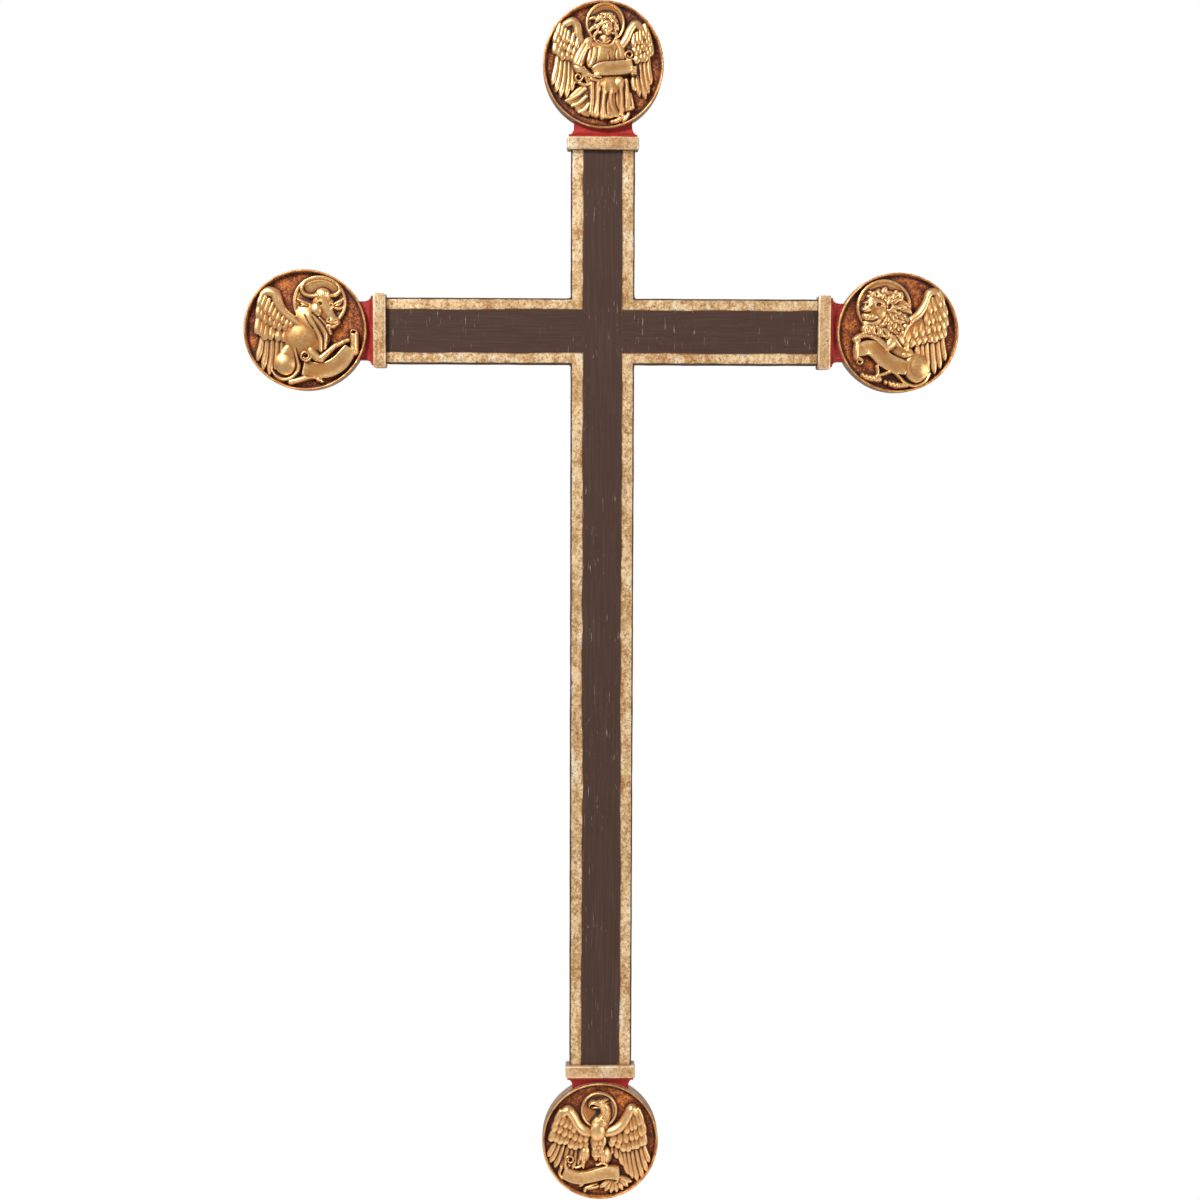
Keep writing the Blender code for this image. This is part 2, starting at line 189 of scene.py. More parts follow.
# painted shadow for the carving's deepest places
RELIEF_PAINTED_SHADOW = (0.045, 0.012, 0.004)
ZINC = (0.42, 0.42, 0.40), (0.66, 0.65, 0.62)
BEECH = (0.42, 0.27, 0.14), (0.62, 0.44, 0.27)
FLOOR_WHITE = (0.93, 0.93, 0.93), (0.96, 0.96, 0.96)


# ---------------------------------------------------------------- materials

FIELD_HALF_UPRIGHT, FIELD_HALF_CROSSBAR = 16.2 * MM, 17.8 * MM
FIELD_SOFT, BOLE_LINE, FIELD_WAVER = 0.25 * MM, 1.1 * MM, 3.4 * MM
DARK_EDGE, DARK_EDGE_END, EDGE_WAVER = 1.1 * MM, 1.5 * MM, 1.2 * MM
BEAM_FRONT = 12.6 * MM                  # the gilded front ends here on the rounded edge
PLATE_GOLD_FROM, PLATE_GOLD_TO = 12.6 * MM, 14.4 * MM


def raw_wood(s, across=None):
    """Stained raw wood with grain along Z, or along X where across is 1: colour and height."""
    grain = s.noise(2.2, 4, 0.6, s.stretch(1, 1, 0.045), 0.3)
    if across:
        grain = s.blend(across, grain, s.noise(2.2, 4, 0.6, s.stretch(0.045, 1, 1), 0.3))
    pores = s.noise(0.5, 2, 0.5, s.stretch(1, 1, 0.06))
    return s.mix(s.band(grain, 0.3, 0.7), *WOOD), s.plus(s.times(grain, 0.6), s.times(pores, 0.4))


def at_back(s, y):
    """1 on the back face and 0 in front of it."""
    return s.band(y, -0.5 * MM, -0.2 * MM)


def gold_leaf(s):
    """Pale gold leaf over gesso, with fine grain, dull patches and thin spots: colour and height."""
    patches = s.noise(22, 4, 0.65, distortion=0.6)
    grain = s.noise(2.4, 5, 0.85)
    spots = s.noise(4.5, 5, 0.85)
    worn = s.noise(11, 5, 0.7, s.stretch(1, 1, 0.35))
    colour = s.mix(s.band(patches, 0.42, 0.56), GOLD_PALE, GOLD_LIGHT)
    colour = s.mix(s.times(s.band(worn, 0.53, 0.64), 0.72), colour, GOLD_WARM)
    colour = s.mix(s.times(s.band(worn, 0.45, 0.36), 0.85), colour, GOLD_BRIGHT)
    colour = s.mix(s.times(s.band(grain, 0.51, 0.60), 0.72), colour, GOLD_DEEP)
    colour = s.mix(s.times(s.band(spots, 0.54, 0.63), 0.72), colour, GOLD_DEEP)
    colour = s.mix(s.times(s.band(grain, 0.46, 0.37), 0.85), colour, GOLD_BRIGHT)
    return colour, s.plus(s.times(grain, 0.6), s.times(spots, 0.5))


def painted_beams():
    """Gold borders round a dark painted field in front, dark sides and raw wood behind."""
    s = Shader("painted_beams")
    x, y, z = s.axes()
    waver = s.times(s.minus(s.noise(45, 3, 0.5), 0.5), FIELD_WAVER)
    out_x = s.plus(s.size(x), waver)
    out_z = s.plus(s.size(z), waver)
    up, cross = FIELD_HALF_UPRIGHT, FIELD_HALF_CROSSBAR
    field = s.math("MAXIMUM", s.band(out_x, up + FIELD_SOFT, up - FIELD_SOFT),
                   s.band(out_z, cross + FIELD_SOFT, cross - FIELD_SOFT))
    wide = s.math("MAXIMUM", s.band(out_x, up + BOLE_LINE, up), s.band(out_z, cross + BOLE_LINE, cross))
    streak_up = s.noise(1.6, 4, 0.6, s.stretch(1, 1, 0.03))
    streak_cross = s.noise(1.6, 4, 0.6, s.stretch(0.05, 1, 1))
    upright = s.band(s.size(x), up + 2 * MM, up)
    streak = s.blend(upright, streak_cross, streak_up)
    cloud = s.noise(30, 3, 0.6)
    flecks = s.band(s.noise(1.3, 3, 0.6, s.stretch(1, 1, 0.09), 0.5), 0.63, 0.70)
    flecks = s.times(flecks, s.band(s.noise(45, 2, 0.5), 0.42, 0.58, 0.05, 1.0))
    paint = s.mix(s.times(s.band(streak, 0.35, 0.80), s.band(cloud, 0.25, 0.75, 0.4, 1.0)), *FIELD)
    paint = s.mix(s.times(flecks, 0.55), paint, FLECK)
    gold, gold_height = gold_leaf(s)
    bole = s.times(s.minus(wide, field), s.band(s.noise(9, 3, 0.6), 0.36, 0.52))
    front = s.mix(s.times(bole, 0.85), s.mix(field, gold, paint), BOLE)
    side = s.mix(s.band(s.noise(6, 4, 0.6), 0.3, 0.7), *BEAM_SIDE)
    inside = s.math("MAXIMUM", s.minus(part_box("upright")[1][0], s.size(x)),
                    s.minus(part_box("crossbar")[1][2], s.size(z)))
    inside = s.plus(inside, s.times(s.minus(s.noise(7, 3, 0.6), 0.5), EDGE_WAVER))
    edge = s.times(s.band(y, 0.4 * MM - BEAM_FRONT, -BEAM_FRONT), s.band(inside, DARK_EDGE, DARK_EDGE_END))
    behind = at_back(s, y)
    half_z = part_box("crossbar")[1][2]
    wood, wood_height = raw_wood(s, s.band(s.size(z), half_z + 0.2 * MM, half_z))
    colour = s.mix(behind, s.mix(edge, side, front), wood)
    shine = s.times(s.minus(1.0, field), edge)
    height = s.plus(s.times(gold_height, shine), s.times(streak, 0.9))
    normal = s.bump(s.plus(height, s.times(wood_height, behind)), 0.22)
    metallic = s.times(shine, 0.55)
    rough = s.plus(s.times(shine, -0.24), 0.70)
    s.bsdf.inputs["Specular IOR Level"].default_value = 0.3
    return s.finish(colour, rough, metallic, normal)


def gilded_plate():
    """Pale leaf in front with a painted highlight along its front edges; the sides turn dull taupe towards
    the back, and the back is raw wood.
    """
    s = Shader("gilded_plate")
    _, y, _ = s.axes()
    gold, height = gold_leaf(s)
    taupe = s.mix(s.band(s.noise(4, 4, 0.6), 0.3, 0.7), *PLATE_SIDE)
    side = s.band(s.plus(y, s.times(s.noise(5, 3, 0.6), 2 * MM)), -PLATE_GOLD_TO, -PLATE_GOLD_FROM)
    wood, _ = raw_wood(s)
    # painted highlight along the front edges, in patches
    rub = s.times(s.attribute("edge"), s.band(s.noise(5, 3, 0.6), 0.35, 0.6))
    gold = s.mix(s.band(s.noise(14, 4, 0.6), 0.35, 0.65, 0.08, 0.42), gold, GOLD_WARM)
    gold = s.mix(s.times(rub, 0.8), gold, GOLD_BRIGHT)
    colour = s.mix(at_back(s, y), s.mix(side, gold, taupe), wood)
    shine = s.minus(1.0, side)
    return s.finish(colour, s.plus(s.times(shine, -0.18), 0.62),
                    s.times(shine, 0.55), s.bump(height, 0.22))


def red_paint():
    """Red paint with brush lines along the hollow, painted shade in the hollow and towards the disc, and dry
    pink where rubbed.
    """
    s = Shader("red_paint")
    _, y, _ = s.axes()
    cloud = s.noise(7, 4, 0.6)
    brush = s.noise(0.9, 3, 0.6)
    colour = s.mix(s.band(cloud, 0.3, 0.7), *RED)
    hollow = s.attribute("hollow")
    # painted shade in the hollow and towards the disc
    colour = s.mix(s.times(hollow, 0.55), colour, RED_PAINTED_SHADE)
    dry = s.times(s.band(s.noise(1.1, 4, 0.75), 0.52, 0.68), s.attribute("rub"))
    colour = s.mix(s.times(dry, 0.75), colour, RED_DRY)
    wood, _ = raw_wood(s)
    colour = s.mix(at_back(s, y), colour, wood)
    s.bsdf.inputs["Specular IOR Level"].default_value = 0.3
    return s.finish(colour, 0.50, 0.0, s.bump(s.plus(brush, s.times(cloud, 0.5)), 0.18))


def medallion_paint():
    """Orange-gold rim, stippled brown glaze on the sunk ground, taupe side and raw wood behind."""
    s = Shader("medallion_paint")
    _, y, _ = s.axes()
    clumps = s.noise(9, 5, 0.65, distortion=0.4)
    stipple = s.noise(1.5, 4, 0.85)
    tone = s.plus(s.times(clumps, 0.60), s.times(stipple, 1.10))
    tone = s.minus(tone, 0.19)
    # darker beside the carving, gathered glaze with painted shade, and inside the rim, painted shade
    tone = s.minus(tone, s.times(s.attribute("recess"), 0.34))
    ground = s.mix(s.band(tone, 0.36, 0.62), *GLAZE)
    ground = s.mix(s.band(tone, 0.59, 0.80), ground, GLAZE_BRIGHT)
    rim = s.mix(s.band(s.noise(7, 4, 0.65), 0.35, 0.65), *RIM_GOLD)
    taupe = s.mix(s.band(s.noise(5, 4, 0.65), 0.3, 0.7), *DISC_SIDE)
    rim_share = s.attribute("rim")
    colour = s.mix(s.attribute("side"), s.mix(rim_share, ground, rim), taupe)
    wood, _ = raw_wood(s)
    colour = s.mix(at_back(s, y), colour, wood)
    height = s.plus(stipple, s.times(clumps, 0.5))
    rough = s.minus(0.58, s.times(rim_share, 0.22))
    s.bsdf.inputs["Specular IOR Level"].default_value = 0.35
    return s.finish(colour, rough, s.times(rim_share, 0.6), s.bump(height, 0.30))


def carved_gold():
    """Gold leaf with a painted highlight on the high places; in every recess wiped-back brown glaze, darkened
    further as painted shade, and near black as painted shadow in the deepest places.
    """
    s = Shader("carved_gold")
    recess = s.attribute("recess")
    mottle = s.noise(3.0, 4, 0.65)
    grain = s.noise(0.8, 3, 0.7)
    deep = s.plus(recess, s.times(s.minus(mottle, 0.5), 0.40))
    gold = s.mix(s.band(mottle, 0.35, 0.7), *RELIEF_GOLD)
    amber = s.mix(s.band(grain, 0.35, 0.65), *RELIEF_AMBER)
    # painted highlight where the carving stands highest among its neighbours
    gold = s.mix(s.times(s.band(deep, 0.14, -0.08), 0.35), gold, RELIEF_PAINTED_HIGHLIGHT)
    # amber in the recesses: the glaze, darkened further as painted shade
    colour = s.mix(s.band(deep, 0.20, 0.54), gold, amber)
    # painted shadow, near black, in the deepest places
    colour = s.mix(s.band(deep, 0.56, 0.88), colour, RELIEF_PAINTED_SHADOW)
    clean = s.band(deep, 0.72, 0.30)
    height = s.plus(s.times(grain, 0.6), s.times(mottle, 0.4))
    return s.finish(colour, s.minus(0.54, s.times(clean, 0.17)),
                    s.times(clean, 0.80), s.bump(height, 0.16))


def zinc():
    s = Shader("zinc_steel")
    spangle = s.noise(2.5, 4, 0.6)
    colour = s.mix(s.band(spangle, 0.3, 0.7), *ZINC)
    return s.finish(colour, s.band(spangle, 0.2, 0.8, 0.30, 0.48), 0.95, s.bump(s.noise(0.6, 2, 0.5), 0.04))


def beech():
    s = Shader("beech_dowel")
    grain = s.noise(1.2, 4, 0.6)
    return s.finish(s.mix(s.band(grain, 0.3, 0.7), *BEECH), 0.7, 0.0, s.bump(grain, 0.1))


# ---------------------------------------------------------------- carving

GRID = 300


def spline(points, steps=7):
    """A smooth curve through given points, whatever their number of columns."""
    p = np.array(points, float)
    if len(p) < 3:
        return p
    p = np.vstack([2 * p[0] - p[1], p, 2 * p[-1] - p[-2]])
    out = []
    for k in range(1, len(p) - 2):
        a, b, c, d = p[k - 1:k + 3]
        for t in np.arange(steps) / steps:
            out.append(0.5 * (2 * b + (c - a) * t + (2 * a - 5 * b + 4 * c - d) * t * t
                              + (3 * b - a - 3 * c + d) * t ** 3))
    out.append(p[-2])
    return np.array(out)


def blur(h, radius):
    """A soft blur: three passes of a running mean."""
    k = max(1, int(round(radius)))
    for _ in range(3):
        for axis in (0, 1):
            pad = [(k + 1, k) if a == axis else (0, 0) for a in (0, 1)]
            s = np.cumsum(np.pad(h, pad, mode="edge"), axis=axis)
            n = h.shape[axis]
            lead = s[2 * k + 1:2 * k + 1 + n] if axis == 0 else s[:, 2 * k + 1:2 * k + 1 + n]
            trail = s[:n] if axis == 0 else s[:, :n]
            h = (lead - trail) / (2 * k + 1)
    return h


class Carving:
    """A height field in millimetres over a medallion's sunk ground; u and v run from -100 to 100."""

    def __init__(self, n=GRID):
        self.axis = np.linspace(-100, 100, n)
        self.u, self.v = np.meshgrid(self.axis, self.axis)
        self.h = np.zeros((n, n))
        self.leaf = np.zeros((n, n))

    def window(self, points, reach):
        """The part of the grid within reach of the points."""
        lo = np.searchsorted(self.axis, np.min(points, axis=0)[:2] - reach)
        hi = np.searchsorted(self.axis, np.max(points, axis=0)[:2] + reach)
        return np.s_[lo[1]:hi[1], lo[0]:hi[0]]

    def trace(self, points, square=False):
        """Along a curve of (u, v, half width, height) points: window, offset share, height there."""
        path = spline(points)
        win = self.window(path, path[:, 2].max())
        u, v = self.u[win], self.v[win]
        share = np.full(u.shape, 9.0)
        top = np.zeros(u.shape)
        side = np.zeros(u.shape)
        for a, b in zip(path, path[1:]):
            du, dv = b[0] - a[0], b[1] - a[1]
            size = du * du + dv * dv + 1e-9
            t = np.clip(((u - a[0]) * du + (v - a[1]) * dv) / size, 0, 1)
            d = np.hypot(u - a[0] - t * du, v - a[1] - t * dv) / np.maximum(a[2] + t * (b[2] - a[2]), 0.2)
            near = d < share
            share = np.where(near, d, share)
            top = np.where(near, a[3] + t * (b[3] - a[3]), top)
            side = np.where(near, np.sign((u - a[0]) * dv - (v - a[1]) * du), side)
        if square:
            for end, inner in ((path[0], path[1]), (path[-1], path[-2])):
                past = (u - end[0]) * (inner[0] - end[0]) + (v - end[1]) * (inner[1] - end[1]) < 0
                share = np.where(past & (np.hypot(u - end[0], v - end[1]) < 1.5 * end[2]), 9.0, share)
        return win, share, top, side

    def put(self, win, z, inside, blend=0.0):
        """The higher of what is there and z, with a soft join when blend is given."""
        old = self.h[win]
        self.h[win] = np.where(inside, 0.5 * (old + z + np.sqrt((old - z) ** 2 + blend * blend)), old)

    def over(self, win, z, inside):
        """Puts z in place of what is there."""
        self.h[win] = np.where(inside, z, self.h[win])

    def stroke(self, points, base=0.0, lay=False, ease=0.62):
        """A round ridge; a larger ease gives it a softer foot."""
        win, x, top, _ = self.trace(points)
        z = base + (top - base) * np.clip(1 - x * x, 0, 1) ** ease
        self.over(win, z, x < 1) if lay else self.put(win, z, x < 1, 0.25)

    def ribbon(self, points, lip=0.25):
        """A flat band with slightly raised edges and square ends."""
        win, x, top, _ = self.trace(points, square=True)
        self.over(win, top + lip * np.clip(x, 0, 1) ** 4 - 0.8 * np.clip((x - 0.93) / 0.07, 0, 1), x < 1)

    def groove(self, points, depth=0.8, width=1.0):
        """A soft cut along a line that never goes through to the ground."""
        win, x, top, _ = self.trace([(*p[:2], width * 2.2, depth) for p in points])
        cut = top * np.exp(-(x * 2.2) ** 2)
        self.h[win] = np.where((x < 1) & (self.h[win] > 0.3), np.maximum(self.h[win] - cut, 0.3), self.h[win])

    def feather(self, root, tip, width, low, high, bend=0.0, blunt=0.42, round_off=1.1):
        """A feather from root to tip, lifting towards its tip, with a raised quill."""
        r, t = np.array(root, float), np.array(tip, float)
        side = np.array([-(t - r)[1], (t - r)[0]]) * bend
        mid = (r + t) / 2 + side
        points = [(*r, width * 0.75, low), (*mid, width, (low + high) / 2 + 0.1),
                  (*(mid * 0.35 + t * 0.65), width, high), (*t, width * blunt, high - 0.15)]
        win, x, top, s = self.trace(points)
        z = top - round_off * (0.6 * x ** 2 + 0.4 * x ** 6) + 0.2 * np.clip(1 - x / 0.2, 0, 1)
        z = z - 0.4 * (s > 0) * np.clip(2 * x, 0, 1)
        self.put(win, z, x < 1)

    def blob(self, u, v, ru, rv, top, base=0.0, turn=0.0, lay=False, ease=0.66):
        """A rounded mass; a larger ease gives it a softer foot."""
        r = max(ru, rv)
        win = self.window([(u, v)], r)
        c, s = cos(radians(turn)), sin(radians(turn))
        x, y = self.u[win] - u, self.v[win] - v
        d = ((x * c + y * s) / ru) ** 2 + ((y * c - x * s) / rv) ** 2
        z = base + (top - base) * np.clip(1 - d, 0, 1) ** ease
        self.over(win, z, d < 1) if lay else self.put(win, z, d < 1, 0.3)

    def mass(self, outline, top, edge=6.0, lay=False, base=0.0):
        """A filled outline whose height rises over a rounded edge."""
        ring = spline(outline + outline[:3], 4)[4:-7]
        win = self.window(ring, 1)
        u, v = self.u[win], self.v[win]
        inside = np.zeros(u.shape, bool)
        dist = np.full(u.shape, 99.0)
        for a, b in zip(ring, np.roll(ring, -1, axis=0)):
            du, dv = b[0] - a[0], b[1] - a[1]
            t = np.clip(((u - a[0]) * du + (v - a[1]) * dv) / (du * du + dv * dv + 1e-9), 0, 1)
            dist = np.minimum(dist, np.hypot(u - a[0] - t * du, v - a[1] - t * dv))
            crosses = (a[1] > v) != (b[1] > v)
            inside ^= crosses & (u < du * (v - a[1]) / (dv if dv else 1e-9) + a[0])
        x = 1 - np.clip(dist / edge, 0, 1)
        z = base + (top - base) * np.sqrt(np.clip(1 - x * x, 0, 1))
        self.over(win, z, inside) if lay else self.put(win, z, inside, 0.2)

    def halo(self, u, v, r, ring=2.3, leaf=0.2):
        """A dished round with two rings; leaf says how bright its ground stays."""
        d = np.hypot(self.u - u, self.v - v)
        inner = 1.0 + 0.9 * np.clip(d / r, 0, 1) ** 3
        self.h = np.where(d < r, np.maximum(self.h, inner), self.h)
        self.leaf = np.where(d < r, leaf, self.leaf)
        for radius, half, peak in ((r, ring, 3.2), (r * 0.84, ring * 0.3, 1.9)):
            x = np.abs(d - radius) / half
            z = peak * (0.6 + 0.4 * np.sqrt(np.clip(1 - x * x, 0, 1)))
            self.h = np.where(x < 1, np.maximum(self.h, z), self.h)

    def coil(self, u, v, r, top, start, turns, width):
        """The rolled end of a scroll: a raised spiral round a dark hole."""
        self.blob(u, v, r, r, 1.2, 0.8, lay=True)
        count = int(12 * turns)
        spiral = []
        for k in range(count + 1):
            reach = r * (1 - 0.6 * k / count)
            angle = start - 2 * pi * turns * k / count
            spiral.append((u + reach * cos(angle), v + reach * sin(angle), width, top - 0.5 * k / count))
        self.stroke(spiral, base=0.8)

    def row(self, roots, tips, count, width, low, high):
        """A row of feathers whose roots and tips follow two curves."""
        a, b = spline(roots, 12), spline(tips, 12)
        for k in range(count):
            f = k / (count - 1)
            root = a[int(round(f * (len(a) - 1)))]
            tip = b[int(round(f * (len(b) - 1)))] + 1.3 * sin(2.4 * k) * np.array([0.3, 1.0])
            self.feather(root, tip, width * 1.3, low, high, 0.0, 0.85, 0.7)

    def fan(self, feathers, low, high, bend):
        """Long feathers, each given as root, tip and half width."""
        for root, tip, width in feathers:
            self.feather(root, tip, 1.15 * width, low, high, bend)

    def strokes(self, lines, base, ease=0.62):
        for line in lines:
            self.stroke(line, base, ease=ease)

    def grooves(self, lines, depth, width):
        for line in lines:
            self.groove(line, depth, width)


def lock(c, u, v, turn, length, width, top, bend=0.25, deep=1.7):
    """A wavy lock of hair that tapers to a curled tip, with a parting along it."""
    du, dv = cos(turn), sin(turn)
    path = [(u + length * (f * du - bend * g * dv), v + length * (f * dv + bend * g * du))
            for f, g in ((0, 0), (0.35, 0.55), (0.7, 0.35), (0.95, -0.35), (1.0, -0.8))]
    sizes = ((0.8, -0.2), (1.0, 0.0), (0.85, -0.1), (0.55, -0.4), (0.25, -0.9))
    c.stroke([(*q, width * w, top + z) for q, (w, z) in zip(path, sizes)], base=top - deep, lay=True)
    c.groove(path[:4], 0.35, width * 0.16)


def paw(c, u, v, step, top):
    """Four toes in a row."""
    for k in range(4):
        c.blob(u + k * step[0], v + k * step[1], 4.2, 5.2, top)


def angel(c):
    c.halo(3, 65, 30.5, leaf=0.22)
    # wings
    c.fan([((-74, 26), (-84, -31), 4.2), ((-69, 17), (-78, -42), 4.3), ((-63, 10), (-71, -50), 4.3),
           ((-57, 4), (-61, -50), 4.3), ((-52, 2), (-52, -40), 4.0), ((-48, 0), (-45, -28), 3.8)], 2.6, 3.1,
          0.03)
    c.fan([((74, 20), (79, -29), 4.0), ((67, 16), (75, -43), 4.2), ((60, 8), (70, -52), 4.2),
           ((54, 2), (60, -48), 4.0), ((49, -12), (52, -40), 3.6)], 2.6, 3.1, -0.03)
    c.mass([(-47, 73), (-61, 70), (-72, 58), (-78, 36), (-72, 20), (-58, 12), (-44, 18), (-33, 34),
            (-40, 56), (-39, 68)], 2.9, 9)
    c.mass([(43, 67), (55, 71), (66, 61), (74, 38), (74, 18), (58, 10), (42, 20), (27, 28), (33, 40),
            (42, 50)], 2.9, 9)
    c.row([(-76, 44), (-68, 30), (-52, 22)], [(-80, 20), (-67, 12), (-51, 8)], 5, 4.2, 3.4, 4.4)
    c.row([(-75, 56), (-64, 42), (-46, 32)], [(-80, 36), (-68, 26), (-49, 16)], 6, 3.6, 4.2, 5.0)
    c.row([(-72, 62), (-60, 52), (-42, 42)], [(-75, 47), (-63, 36), (-44, 27)], 6, 3.2, 4.9, 5.6)
    c.row([(76, 40), (68, 26), (56, 22)], [(79, 18), (69, 10), (55, 6)], 5, 4.2, 3.4, 4.4)
    c.row([(72, 54), (64, 40), (52, 36)], [(77, 34), (67, 24), (52, 18)], 6, 3.6, 4.2, 5.0)
    c.row([(68, 62), (60, 52), (50, 46)], [(72, 47), (62, 36), (50, 30)], 5, 3.2, 4.9, 5.6)
    c.stroke([(-36, 30, 7, 4.4), (-42, 46, 8, 5.6), (-44, 59, 8, 6.0), (-51, 66, 8, 6.0),
              (-62, 62, 7, 5.2)], 2.0, ease=0.8)
    c.stroke([(30, 29, 7, 4.6), (39, 41, 8, 5.6), (46, 55, 8, 6.0), (54, 62, 8, 6.0), (63, 54, 7, 5.2)],
             2.0, ease=0.8)
    # cloak behind, at the lower left
    c.mass([(-30, -30), (-44, -36), (-64, -56), (-58, -62), (-50, -66), (-42, -76), (-20, -80), (-14, -40)],
           3.0, 6)
    for a, b in (((-30, -38, 4, 4.6), (-62, -57, 2.6, 3.6)), ((-28, -50, 4, 4.6), (-52, -65, 2.4, 3.4)),
                 ((-24, -62, 4, 4.4), (-40, -75, 2.4, 3.4))):
        sagging = [(x + y) / 2 + more for x, y, more in zip(a, b, (0, -3, 0.6, 0.3))]
        c.stroke([a, sagging, b], 1.5)
    # feet
    c.stroke([(34, -80, 4.5, 4.2), (24, -87, 4.5, 4.4), (14, -89, 3.2, 3.6)], 0.5)
    c.stroke([(42, -76, 3.6, 4.0), (38, -83, 3.6, 4.2), (33, -88, 3.0, 3.4)], 0.5)
    for k in range(4):
        c.groove([(18 + 4 * k, -91), (20 + 4 * k, -87)], 0.8, 0.7)
    # robe
    c.mass([(-24, -22), (0, -18), (30, -20), (38, -24), (42, -44), (51, -68), (40, -74), (30, -80),
            (10, -85), (-6, -84), (-24, -78), (-22, -50)], 4.6, 7)
    c.blob(10, -33, 24, 17, 6.4, 3.5)
    c.blob(26, -30, 10, 12, 6.8, 3.5)
    c.strokes([[(-19, -30, 3.5, 5.2), (-19, -55, 3, 5.0), (-21, -76, 3, 4.4)],
               [(-8, -28, 4, 6.0), (-9, -55, 3.5, 5.6), (-12, -80, 3.5, 4.8)],
               [(4, -30, 4, 6.4), (0, -58, 3.6, 6.0), (-2, -83, 3.6, 5.0)],
               [(13, -34, 4, 6.6), (12, -58, 4, 6.0), (20, -76, 4, 5.4), (27, -80, 3, 4.8)],
               [(28, -26, 4.5, 7.0), (30, -52, 4, 6.6), (30, -78, 3.6, 5.4)],
               [(38, -24, 3, 5.0), (41, -46, 3, 5.0), (44, -68, 3, 4.4)],
               [(45, -46, 2.5, 4.2), (50, -67, 2.5, 3.8)]], 3.8, ease=1.2)
    c.grooves([[(-14, -30), (-14, -55), (-17, -78)], [(-3, -36), (-5, -60), (-7, -82)],
               [(8, -44), (5, -62), (6, -80)], [(34, -24), (35.5, -50), (36, -76)],
               [(41, -28), (46, -50), (47, -68)], [(20, -46), (21, -62), (26, -74)]], 1.0, 1.3)
    # torso and collar
    c.mass([(-20, 38), (0, 34), (22, 36), (31, 14), (36, 2), (10, 0), (-20, -8), (-30, 4), (-26, 24)], 4.6,
           8)
    c.blob(0, 16, 18, 20, 5.8, 3.5)
    c.grooves([[(-18, 26), (-20, 10), (-24, 0)], [(-9, 24), (-11, 10), (-14, 0)],
               [(9, 20), (10, 12), (10, 3)], [(21, 24), (19, 14), (20, 5)]], 0.75, 1.5)
    c.stroke([(-15, 39, 2.4, 5.2), (-8, 31, 2.6, 5.6), (4, 28, 2.6, 5.8), (14, 32, 2.4, 5.4),
              (19, 39, 2.2, 5.0)], 2.0)
    c.stroke([(-9, 37, 1.4, 5.2), (-3, 33.5, 1.4, 5.4), (5, 33, 1.4, 5.4), (11, 37, 1.4, 5.2)], 3.0)
    c.stroke([(23, 34, 7, 4.6), (29, 22, 7, 5.0), (31, 10, 6, 4.8)], 2.0)
    # arm at the left with its sleeve
    c.stroke([(-24, 34, 9, 4.8), (-34, 20, 10.5, 5.8), (-41, 3, 10.5, 6.4), (-37, -9, 9, 6.4),
              (-27, -16, 7, 6.2)], 2.4)
    c.stroke([(-30, -14, 6, 5.4), (-24, -26, 5, 5.0), (-21, -38, 3, 4.0)], 2.0)
    c.grooves([[(-29, 30), (-38, 14), (-43, 2)], [(-25, 22), (-31, 8), (-33, -2)],
               [(-48, -2), (-39, -4), (-31, -1)], [(-27, -20), (-23, -34)]], 0.9, 1.5)
    # scroll
    c.stroke([(-40, -28, 3.4, 3.8), (-31, -32, 3.6, 4.2), (-20, -31, 3.4, 4.4), (-10, -27, 3, 4.6)], 0.6)
    c.coil(-41, -20, 8, 5.2, pi * 0.6, 1.3, 2.0)
    c.coil(43, 15, 8, 5.2, -pi * 0.3, 1.3, 1.9)
    c.ribbon([(-17, -13, 6.5, 5.6), (-8, -9, 9.5, 6.8), (6, -7, 10.8, 7.0), (22, -6, 11, 6.4),
              (38, -4, 11, 6.2), (49, -1, 10.5, 6.8)])
    # hands
    c.stroke([(-24, -17, 4.4, 6.6), (-14, -20, 3.6, 7.0), (-4, -21, 2.6, 6.8)], 2.5)
    c.stroke([(-20, -23, 3.4, 6.2), (-8, -26, 2.6, 6.4), (0, -24, 2.0, 6.2)], 2.5)
    c.groove([(-19, -20), (-8, -23)], 1.2, 0.7)
    for k in range(4):
        c.stroke([(54, -4 - 3.4 * k, 2.1, 6.4), (47, -6 - 3.2 * k, 2.0, 7.0)], 3.0)
